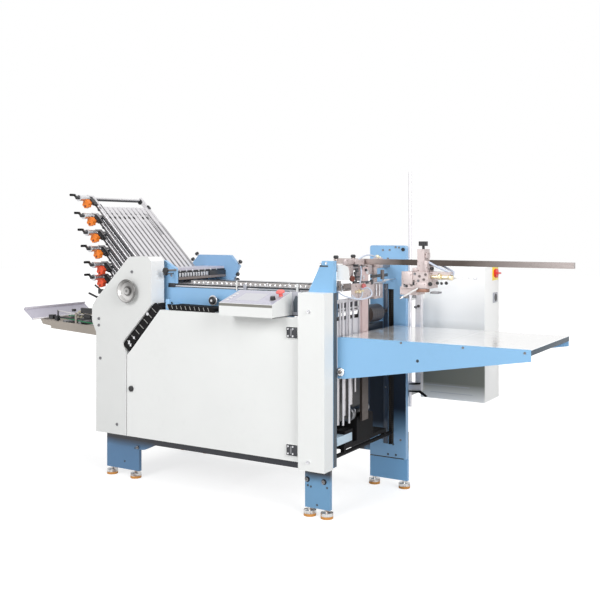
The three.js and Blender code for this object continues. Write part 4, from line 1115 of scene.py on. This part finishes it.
# The control box's slope, from its front lip to its rear edge, in millimetres of the drawing
SLOPE_FRONT, SLOPE_REAR = (-592, 925), (-430, 972)
SLOPE_LEAN = math.atan2(SLOPE_REAR[1] - SLOPE_FRONT[1], SLOPE_REAR[0] - SLOPE_FRONT[0])


def slope_at(x, up, out):
    """A point on the control box's slope: along x, up the slope and out of it."""
    run, rise = math.cos(SLOPE_LEAN), math.sin(SLOPE_LEAN)
    return at(x, SLOPE_FRONT[0] + up * run - out * rise, SLOPE_FRONT[1] + up * rise + out * run)


def slope_sheet(x0, x1, up0, up1, low, high, edge=0.0003):
    """A thin sheet lying on the control box's slope."""
    start()
    centre = slope_at((x0 + x1) / 2, (up0 + up1) / 2, (low + high) / 2)
    size = ((x1 - x0) / 1000, (up1 - up0) / 1000, (high - low) / 1000)
    bpy.ops.mesh.primitive_cube_add(size=1, location=centre, rotation=(SLOPE_LEAN, 0, 0), scale=size)
    return bevelled(settle(bpy.context.object), edge, 1)


class FOLDER_OT_control_panel(bpy.types.Operator):
    """Lilac sheet, pale display field, keys and knob collars of the control box"""

    bl_idname = "folder.control_panel"
    bl_label = "Control panel"

    def execute(self, context):
        made("panel_sheet", "panel_face", [slope_sheet(-58, 217, 3, 166, 0.05, 0.25)])
        made("panel_field", "panel_pale", [slope_sheet(0, 122, 40, 132, 0.2, 0.6)])
        first = slope_sheet(-44, -30, 30, 42, 0.2, 2.2, 0.0006)
        rest = [copied(first, slope_at(0, 26 * row, 0) - slope_at(0, 0, 0)) for row in range(1, 4)]
        made("panel_keys", "hose_white", [first, *rest])
        made("knob_collars", "plate_steel", [
            round_bar(slope_at(186, 62, 0.1), slope_at(186, 62, 1.6), 0.0165, 0.0004),
            round_bar(slope_at(199, 108, 0.1), slope_at(199, 108, 2.4), 0.0135, 0.0006),
        ])
        mark = slope_sheet(185.2, 186.8, 64, 72, 16.2, 16.9, 0)
        made("speed_knob_mark", "hose_white", [mark], "speed_knob")
        return {"FINISHED"}


# Fittings of the feeder


class FOLDER_OT_feeder_plate_bolts(bpy.types.Operator):
    """Bolts, dark holes and the slot on the feeder's plates and legs"""

    bl_idname = "folder.feeder_plate_bolts"
    bl_label = "Feeder plate bolts"

    def execute(self, context):
        rings = [(384, LEG_FACE, 157), (300, LEG_FACE, 158)]
        screws_at("leg_rings", rings, 0.0125, 0.002, "dark_enamel")
        bolts = [(384, LEG_FACE - 2, 157), (300, LEG_FACE - 2, 158), (-728, SIDE_FACE, 155)]
        screws_at("leg_bolts", bolts, 0.0085, 0.006, "dull_steel")
        holes = [(x, LEG_FACE, z) for x, z in ((303, 132), (399, 133), (349, 52), (399, 196), (318, 128))]
        holes += [(-747, SIDE_FACE, 149), (-815, SIDE_FACE, 75)]
        screws_at("leg_holes", holes, 0.005, 0.0006, "slate_rubber")
        rear = ((376, 1147), (412, 1148), (444, 1162), (462, 1160),
                (403, 1106), (371, 1040), (372, 230), (470, 230))
        screws_at("rear_plate_bolts", [(x, REAR_FACE, z) for x, z in rear], 0.0052, 0.003, "dull_steel")
        screws_at("rear_plate_stud", [(484, REAR_FACE, 1151)], 0.009, 0.005, "black_plastic")
        screws_at("rear_leg_bolts", [(403, 165, 154), (445, 165, 155), (430, 165, 205)], 0.0055, 0.0012,
                  "slate_rubber")
        made_of_blocks("rear_plate_flange", "navy_enamel", (293, 165.5, 330, 305, 177, 566, 0.0006))
        made_of_blocks("rear_leg_seam", "dark_enamel", (306, 164.4, 137.2, 486, 165, 142, 0.0002))
        made_of_blocks("front_plate_slot", "slate_rubber", (362, -434.2, 1086, 404, LEG_FACE, 1093, 0.0004))
        screws_at("front_plate_screw", [(368, LEG_FACE, 1100), (396, LEG_FACE, 1103)], 0.0055, 0.004)
        return {"FINISHED"}


class FOLDER_OT_rack_shade_strip(bpy.types.Operator):
    """Navy strip with its screws beside the toothed rack on the feeder's rear plate, as painted shade"""

    bl_idname = "folder.rack_cover"
    bl_label = "Rack shade strip"

    def execute(self, context):
        strip_face = 160.5
        # A navy strip put beside the rack as painted shade.
        made_of_blocks("rack_guide_strip", "navy_enamel", (380, strip_face, 206, 403.5, 164.8, 984))
        places = [(392, strip_face, z) for z in (240, 480, 720, 960)]
        screws_at("rack_guide_screws", places, 0.0045, 0.0025, "dull_steel")
        return {"FINISHED"}


class FOLDER_OT_gauge_fittings(bpy.types.Operator):
    """Stop bars and dark backing behind the windows of the front gauge"""

    bl_idname = "folder.gauge_fittings"
    bl_label = "Front gauge fittings"

    def execute(self, context):
        made_of_blocks("gauge_bars", "plate_steel",
            (428, -402, 400, 433, -382, 640), (428, -345, 430, 433, -322, 640),
            (428, -290, 470, 433, -262, 640), (428, -240, 520, 433, -226, 640))
        made_of_blocks("gauge_backs", "dark_enamel",
            (424, -384, 884, 430, -204, 926, 0.002), (418, -133.5, 795, 424, -76, 990, 0.002),
            (352, -130, 770, 400, 118, 806, 0.004))
        made_of_blocks("gauge_rungs", "bright_steel",
            (430, -394, 884, 433.5, -195, 892), (430, -394, 896, 433.5, -195, 904),
            (430, -402, 926, 433.5, -195, 942), (424, -402, 980, 431, -197, 1000))
        made_of_blocks("gauge_apron", "apron_enamel", (396, -404.8, 400.5, 402, -82, 600))
        made_of_blocks("gauge_sheets", "panel_pale",
            (429, -404, 612, 432.4, -380, 852, 0.0006), (429, -376, 612, 432.4, -317, 852, 0.0006),
            (429, -312, 612, 432.4, -195, 852, 0.0006), slot="lilac_sheet")
        made_of_blocks("terminal_box", "light_blue_enamel", (390, -396, 308, 429, -258, 345, 0.002))
        made_of_bars("lift_gear", "dull_steel",
            (396, -250, 420, 396, -225, 420, 0.034, 0.002, 28),
            (396, -200, 424, 396, -60, 424, 0.02, 0.002))
        return {"FINISHED"}


class FOLDER_OT_feed_mechanism(bpy.types.Operator):
    """Valves, blocks, rods and hoses of the sheet separator under the cross beam"""

    bl_idname = "folder.feed_mechanism"
    bl_label = "Sheet separator"

    def execute(self, context):
        made_of_blocks("separator_blocks", "machined_block",
            (413, -320, 1092, 430, -230, 1117, 0.003), (413, -239, 1086, 436, -150, 1113, 0.003),
            (413, -330, 1040, 432, -250, 1088, 0.003), (413, -204, 1016, 445, -126, 1066, 0.003),
            (413, -19, 1066, 430, 53, 1115, 0.003), (413, -120, 1040, 436, -72, 1082, 0.003),
            (447, -303, 937, 448.6, -80, 1008, 0.0004), (413, -65, 926, 444, 24, 995, 0.002),
            (420, -50, 995, 436, -20, 1070, 0.002))
        rods = bars(
            (448, -57, 995, 448, -57, 940, 0.0045), (448, -25, 995, 448, -25, 938, 0.0045),
            (424, -404, 1076, 424, -110, 1076, 0.005), (440, -404, 1000, 440, 60, 1000, 0.004))
        rods += boxes(
            (440, 24, 1005, 448, 159, 1012), (440, -387, 977, 446, -381, 1012),
            (446, -160, 1046, 450, -140, 1062), (446, -190, 1024, 450, -176, 1040))
        made("separator_rods", "bright_steel", rods)
        made_of_blocks("separator_browns", "brown_enamel",
            (431, -404, 983, 445, -392, 1026), (447, -377, 990, 450, -309, 1012),
            (447, -377, 979, 451, -311, 986), (440, 4, 1014, 450, 26, 1058))
        darks = boxes(
            (440, -104, 1025, 448, 70, 1039, 0.002), (448, -267, 1058, 456, -249, 1075),
            (448, -281, 1049, 456, -264, 1060), (446, -262, 1033, 454, -231, 1040),
            (446, -290, 1013, 454, -260, 1020), (444, -202, 1066, 449, -196, 1090),
            (446, -168, 1058, 451, -152, 1070), (430, -252, 1082, 451, -237, 1092),
            (446, -166, 1001, 451, -136, 1010))
        darks += bars((440, -101, 1006, 451, -101, 1006, 0.012, 0.002),
                      (452, -280, 1060, 452, -262, 1016, 0.004))
        made("separator_darks", "dark_enamel", darks + boxes((446, -290, 1008, 450, -130, 1014)))
        head, shank = star_knob(at(449, -206, 994), (1, -0.25, 0), 0.0125, 0.011, 0.008)
        made("separator_knob", "salmon_plastic", [head])
        wheel, stem = star_knob(at(446, -312, 1032), (1, -0.3, 0), 0.0145, 0.012, 0.008)
        made("separator_dial", "knob_dark", [wheel])
        made("brass_fittings", "brass_pale", [shank, stem, *bars(
            (452, -269, 971, 452, -196, 971, 0.0065, 0.001, 8),
            (452, -240, 971, 452, -228, 971, 0.0095, 0.001, 6),
            (424, 4, 1113, 424, 4, 1128, 0.008, 0.001, 6),
            (424, 30, 1111, 424, 30, 1120, 0.006, 0.001, 6))])
        guard = ((431, 1030), (431, 1094), (470, 1094), (486, 1084), (490, 1066), (490, 1030))
        made("paper_guard", "hose_white", [outline_plate(guard, "y", -402, -399, 0.0006)])
        made_of_blocks("paper_guard_arm", "bright_steel", (412.5, -399, 1070, 436, -394, 1082))
        hoses = (
            [(436, -402, 985), (440, -392, 966), (461, -340, 950), (475, -290, 940), (489, -250, 940),
             (504, -214, 951), (501, -208, 973), (486, -207, 986), (470, -212, 988), (452, -216, 980)],
            [(446, -300, 960), (452, -280, 944), (458, -250, 936), (462, -222, 950), (456, -212, 968)],
            [(430, -200, 1112), (436, -160, 1128), (432, -100, 1132), (426, -40, 1124), (424, -6, 1118)],
            [(446, -210, 1082), (454, -216, 1060), (454, -222, 1030), (450, -226, 1004)],
        )
        for number, points in enumerate(hoses, 1):
            made(f"air_hose_{number}", "hose_clear", [tube(points, sizes().hose_radius * 0.9)])
        made_of_bars("beam_knob_caps", "black_plastic",
            *((396, y, 1119.2, 396, y, 1134, 0.0115, 0.004) for y in (-348, -186)))
        return {"FINISHED"}


class FOLDER_OT_suction_fittings(bpy.types.Operator):
    """Valves, tubes, rings and fittings of the suction head on its rail"""

    bl_idname = "folder.suction_fittings"
    bl_label = "Suction head fittings"

    def execute(self, context):
        body = "suction_head"
        screws = ((650, 1052), (700, 1054), (664, 1026), (716, 1024), (652, 1000), (730, 1006))
        screws_at("head_screws", [(x, HEAD_FACE, z) for x, z in screws], 0.0055, 0.004, "dull_steel", body)
        ports = ((676, 1046), (722, 1044), (694, 1022), (742, 1030), (684, 1004), (750, 1052))
        screws_at("head_ports", [(x, HEAD_FACE, z) for x, z in ports], 0.006, 0.0025, "brown_enamel", body)
        made_of_blocks("head_plates", "machined_block",
            (640, -190, 1008, 690, -185.2, 1064), (700, -190, 992, 758, -185.2, 1018),
            (733.3, -168, 1062.3, 752, -96, 1112, 0.002), (676, -160, 1062.3, 699, -100, 1078, 0.002),
            (733.3, -150, 1122, 741, -110, 1146, 0.002), body=body)
        made_of_bars("head_brass", "brass_pale",
            (763, -150, 1041, 850, -150, 1040, 0.009, 0.001, 12),
            (763, -112, 1046, 842, -112, 1040, 0.009, 0.001, 12),
            (842, -150, 1040, 862, -150, 1039, 0.012, 0.001, 6),
            (800, -160, 1043, 812, -160, 1043, 0.014, 0.001, 6), body=body)
        rings = (
            (646, 1012, 0.007), (657, 1000, 0.006), (692, 1012, 0.008), (700, 1000, 0.006),
            (712, 1008, 0.006), (730, 1000, 0.005), (768, 1012, 0.009), (801, 1017, 0.007),
            (820, 1016, 0.006), (842, 1018, 0.007),
        )
        made_of_bars("head_rings", "black_plastic",
            *((x, -176, z, x + 6, -188, z - 1, size, 0.002, 16) for x, z, size in rings), body=body)
        made_of_blocks("head_copper", "copper_brown",
            (706, -186.5, 974, 756, -150, 989.5, 0.003), body=body)
        suckers = bars((652, -168, 960, 652, -168, 944, 0.011, 0.002),
                       (690, -168, 960, 690, -168, 946, 0.009, 0.002))
        suckers += boxes((760, -160, 968, 800, -120, 976, 0.002))
        made("head_suckers", "dull_steel", suckers, body)
        knob = star_knob(at(756, -150, 1076), (0.9, -0.4, 0.1), 0.009, 0.012, 0.006)
        made("head_side_knob", "black_plastic", knob, body)
        radius = sizes().hose_radius
        tubes = (
            [(745, -150, 1108), (770, -150, 1094), (800, -140, 1078), (840, -132, 1062), (850, -130, 1052)],
            [(752, -110, 1106), (790, -110, 1092), (830, -112, 1074), (858, -115, 1060), (846, -112, 1046)],
        )
        for number, points in enumerate(tubes, 1):
            made(f"head_tube_{number}", "hose_clear", [tube(points, radius * 1.25)], body)
        drop = [(716, -190, 992), (706, -194, 984), (693, -194, 979), (674, -192, 967), (655, -190, 956),
                (640, -188, 950)]
        made("head_drop_hose", "hose_white", [tube(drop, radius)], body)
        made_of_bars("head_drop_nozzle", "chrome",
            (643, -188.3, 951, 630, -186, 945, 0.0048, 0.001, 12), body=body)
        feeler = bars((850, -130, 1036, 958, -130, 1038, 0.0022, 0))
        feeler += boxes((950, -136, 1033, 964, -124, 1043))
        made("head_feeler", "bright_steel", feeler, body)
        return {"FINISHED"}


class FOLDER_OT_table_fittings(bpy.types.Operator):
    """Screws, hole, bright roller and seam of the pile table"""

    bl_idname = "folder.table_fittings"
    bl_label = "Pile table fittings"

    def execute(self, context):
        body = "pile_table"
        screws = [(x, TABLE_FACE, z) for x, z in ((733, 777), (1004, 775), (1256, 771))]
        screws_at("table_screws", screws, 0.005, 0.003, "dull_steel", body)
        screws_at("table_hole", [(807, TABLE_FACE, 707)], 0.0065, 0.0008, "slate_rubber", body)
        made_of_bars("table_roller", "chrome",
            (449, -400.2, 634, 449, -412, 634, 0.019, 0.004, 28), body=body)
        hub = bars((449, -412, 634, 449, -417, 634, 0.008, 0.002))
        made("table_roller_hub", "brown_enamel", hub, body)
        seam = ((905, -399), (906.4, -399), (906.4, 149), (905, 149))
        made("table_seam", "plate_steel", [outline_plate(seam, "z", 785.02, 785.2, 0)],
             body)
        made_of_blocks("table_end_trim", "slate_rubber",
            (1280.1, -399, 762, 1281.4, 149, 781.5, 0.0004), body=body)
        return {"FINISHED"}


# Fittings of the delivery


class FOLDER_OT_delivery_belts(bpy.types.Operator):
    """Cords, clamps and posts over the delivery trough, and the press wheel's hub"""

    bl_idname = "folder.delivery_belts"
    bl_label = "Delivery belts"

    def execute(self, context):
        clamps = boxes((-1364, -356, 766, -1332, -330, 790, 0.002),
                       (-1322, -354, 760, -1300, -332, 786, 0.002))
        clamps += bars((-1307, -342, 742, -1307, -342, 816, 0.004))
        clamps += boxes(
            (-1150, -336, 806, -1060, -320, 834, 0.003), (-1128, -336, 770, -1080, -320, 800, 0.003),
            (-1210, -340, 812, -1190, -324, 826, 0.003), (-1216, -340, 772, -1200, -326, 786, 0.003))
        clamps += bars((-1360, -343, 778, -1060, -343, 776, 0.0042))
        made("delivery_clamps", "black_plastic", clamps)
        cords = (
            ("delivery_cord_upper", "plate_steel", 0.003, (
                (-1307, -342, 814), (-1240, -342, 806), (-1180, -336, 800),
                (-1130, -330, 796), (-1062, -330, 796))),
            ("delivery_cord_1", "belt_green", 0.0035, (
                (-1330, -342, 776), (-1270, -342, 776), (-1200, -340, 770),
                (-1130, -340, 762), (-1000, -340, 752))),
            ("delivery_cord_2", "belt_green", 0.0035, (
                (-1330, -240, 776), (-1270, -240, 779), (-1200, -240, 778),
                (-1130, -240, 774), (-1000, -240, 766))),
        )
        for name, finish, radius, points in cords:
            made(name, finish, [tube(points, radius)])
        made_of_bars("press_wheel_hub", "dull_steel",
            (-1170, -320.4, 797, -1170, -323, 797, 0.011, 0.001), body="delivery_wheel")
        first, = bars((-1150, -344, 752, -1150, 54, 752, 0.012, 0.001))
        rollers = [first, copied(first, (0.11, 0, 0)), copied(first, (-0.11, 0, 0))]
        made("delivery_rollers", "dull_steel", rollers)
        return {"FINISHED"}


# Fittings of the cabinet and the mast


class FOLDER_OT_cabinet_fittings(bpy.types.Operator):
    """Yellow switch plate, socket, seams and side lip of the control cabinet"""

    bl_idname = "folder.cabinet_fittings"
    bl_label = "Cabinet fittings"

    def execute(self, context):
        made_of_blocks("switch_plate", "yellow_enamel", (811.1, 500, 995, 812.6, 588, 1068, 0.0006))
        made_of_blocks("cabinet_socket", "bracket_coat", (811.1, 508, 884, 816, 572, 934, 0.003))
        made_of_bars("socket_face", "black_plastic", (816, 540, 909, 817.5, 540, 909, 0.019, 0.001))
        made_of_blocks("cabinet_seams", "bracket_coat",
            (478, 389.2, 470, 735, 389.9, 473, 0.0001), (530, 389.2, 436, 750, 389.9, 438, 0.0001))
        made_of_blocks("cabinet_lip", "cabinet_coat", (811.1, 392, 409, 811.9, 600, 1081, 0.0004))
        return {"FINISHED"}


class FOLDER_OT_mast_knob(bpy.types.Operator):
    """Clamping knob, clip and hooks on the square post behind the feeder"""

    bl_idname = "folder.mast_knob"
    bl_label = "Mast knob"

    def execute(self, context):
        knob = star_knob(at(557, 188, 880), TOWARDS_FRONT, 0.008, 0.008, 0.006)
        clip = boxes((530, 186, 868, 546, 192, 880, 0.002))
        made("mast_knob", "black_plastic", knob)
        made("mast_clip", "dull_steel", clip)
        hooks = (
            ((504, 503), (562, 512), (562, 504), (530, 500), (504, 499)),
            ((504, 469), (562, 474), (600, 450), (590, 446), (556, 464), (504, 463)),
        )
        made("mast_hooks", "rubber_black", [
            outline_plate(line, "y", 184, 192.8, 0.0006) for line in hooks])
        return {"FINISHED"}


# The photograph's side and focal length in pixels, and the row of its horizon
PHOTO_SIDE, FOCAL_LENGTH, HORIZON_ROW = 600, 912, 229
SENSOR_WIDTH = 36
CAMERA_PLACE, CAMERA_TURN = (2330, -3860, 1250), 31.1
LAMP_AIM = Vector((0, 0, 0.7))
# Name, place, size and power of each soft lamp
LAMPS = (
    ("key", (5.0, -2.6, 3.0), 2.6, 180),
    ("front", (-0.6, -5.6, 3.3), 2.4, 152),
    ("top", (0.2, 0.4, 4.4), 3.2, 45),
)


class FOLDER_OT_stage(bpy.types.Operator):
    """Set up the camera, floor, lamps and background"""

    bl_idname = "folder.stage"
    bl_label = "Studio"

    def execute(self, context):
        scene = context.scene
        start()
        turn = (math.radians(90), 0, math.radians(CAMERA_TURN))
        bpy.ops.object.camera_add(location=at(*CAMERA_PLACE), rotation=turn)
        camera = bpy.context.object
        camera.data.sensor_width = SENSOR_WIDTH
        camera.data.lens = SENSOR_WIDTH * FOCAL_LENGTH / PHOTO_SIDE
        camera.data.shift_y = (HORIZON_ROW - PHOTO_SIDE / 2) / PHOTO_SIDE
        camera.data.clip_end = 60
        scene.camera = camera

        start()
        bpy.ops.mesh.primitive_plane_add(size=40, location=(0, 0, -0.0005))
        floor = settle(bpy.context.object)
        floor.name = "floor"
        floor_coat = bpy.data.materials.new("floor_coat")
        floor_coat.use_nodes = True
        tree = floor_coat.node_tree
        shader = tree.nodes["Principled BSDF"].inputs
        shader["Base Color"].default_value = (0.5, 0.5, 0.5, 1)
        shader["Roughness"].default_value = 0.9
        shader["Specular IOR Level"].default_value = 0.1
        shader["Emission Color"].default_value = (1, 1, 1, 1)
        path = tree.nodes.new("ShaderNodeLightPath").outputs
        seen = math_node(tree, "MAXIMUM", path["Is Camera Ray"], path["Is Glossy Ray"])
        away = vector_node(tree, "LENGTH", tree.nodes.new("ShaderNodeTexCoord").outputs["Object"])
        level = ramp_node(tree, math_node(tree, "DIVIDE", away, 10.0), 0.17, 0.32, 0.72, 1)
        tree.links.new(math_node(tree, "MULTIPLY", seen, level), shader["Emission Strength"])
        floor.data.materials.append(floor_coat)

        world = bpy.data.worlds.new("studio")
        scene.world = world
        world.use_nodes = True
        tree = world.node_tree
        background = tree.nodes["Background"].inputs
        path = tree.nodes.new("ShaderNodeLightPath").outputs
        seen = math_node(tree, "ADD", path["Is Camera Ray"], path["Is Transmission Ray"])
        seen = math_node(tree, "MAXIMUM", seen, path["Is Glossy Ray"])
        background["Color"].default_value = (1, 1, 1, 1)
        level = math_node(tree, "ADD", math_node(tree, "MULTIPLY", seen, 0.6), 0.4)
        tree.links.new(level, background["Strength"])

        for name, place, size, power in LAMPS:
            start()
            bpy.ops.object.light_add(type="AREA", location=place)
            lamp = bpy.context.object
            lamp.name = name
            lamp.rotation_euler = (LAMP_AIM - Vector(place)).to_track_quat("-Z", "Y").to_euler()
            lamp.data.size = size
            lamp.data.energy = power
        scene.view_settings.view_transform = "Standard"
        return {"FINISHED"}


class FOLDER_PT_panel(bpy.types.Panel):
    """Lists the machine's pieces and settings"""

    bl_idname = "FOLDER_PT_panel"
    bl_label = "Paper Folding Machine"
    bl_space_type = "VIEW_3D"
    bl_region_type = "UI"
    bl_category = "Folder"

    def draw(self, context):
        for group in (context.scene.folder_sizes, context.scene.folder_colours):
            for name in group.bl_rna.properties.keys():
                if name not in ("rna_type", "name"):
                    self.layout.prop(group, name)
        for operator in OPERATORS:
            self.layout.operator(operator.bl_idname)


OPERATORS = (
    FOLDER_OT_finishes,
    FOLDER_OT_cover_screws,
    FOLDER_OT_door_hinges,
    FOLDER_OT_guard_strip,
    FOLDER_OT_plate_slots,
    FOLDER_OT_plate_rods,
    FOLDER_OT_stop_fittings,
    FOLDER_OT_hump_knobs,
    FOLDER_OT_infeed_guides,
    FOLDER_OT_register_balls,
    FOLDER_OT_register_brackets,
    FOLDER_OT_control_panel,
    FOLDER_OT_feeder_plate_bolts,
    FOLDER_OT_rack_shade_strip,
    FOLDER_OT_gauge_fittings,
    FOLDER_OT_feed_mechanism,
    FOLDER_OT_suction_fittings,
    FOLDER_OT_table_fittings,
    FOLDER_OT_delivery_belts,
    FOLDER_OT_cabinet_fittings,
    FOLDER_OT_mast_knob,
    FOLDER_OT_stage,
)


def register():
    for item in (FolderSizes, FolderColours, *OPERATORS, FOLDER_PT_panel):
        bpy.utils.register_class(item)
    bpy.types.Scene.folder_sizes = bpy.props.PointerProperty(type=FolderSizes)
    bpy.types.Scene.folder_colours = bpy.props.PointerProperty(type=FolderColours)


def unregister():
    del bpy.types.Scene.folder_colours
    del bpy.types.Scene.folder_sizes
    for item in reversed((FolderSizes, FolderColours, *OPERATORS, FOLDER_PT_panel)):
        bpy.utils.unregister_class(item)


def main():
    """Builds the whole scene."""
    register()
    for operator in OPERATORS:
        group, name = operator.bl_idname.split(".")
        getattr(getattr(bpy.ops, group), name)()


if __name__ == "__main__":
    main()
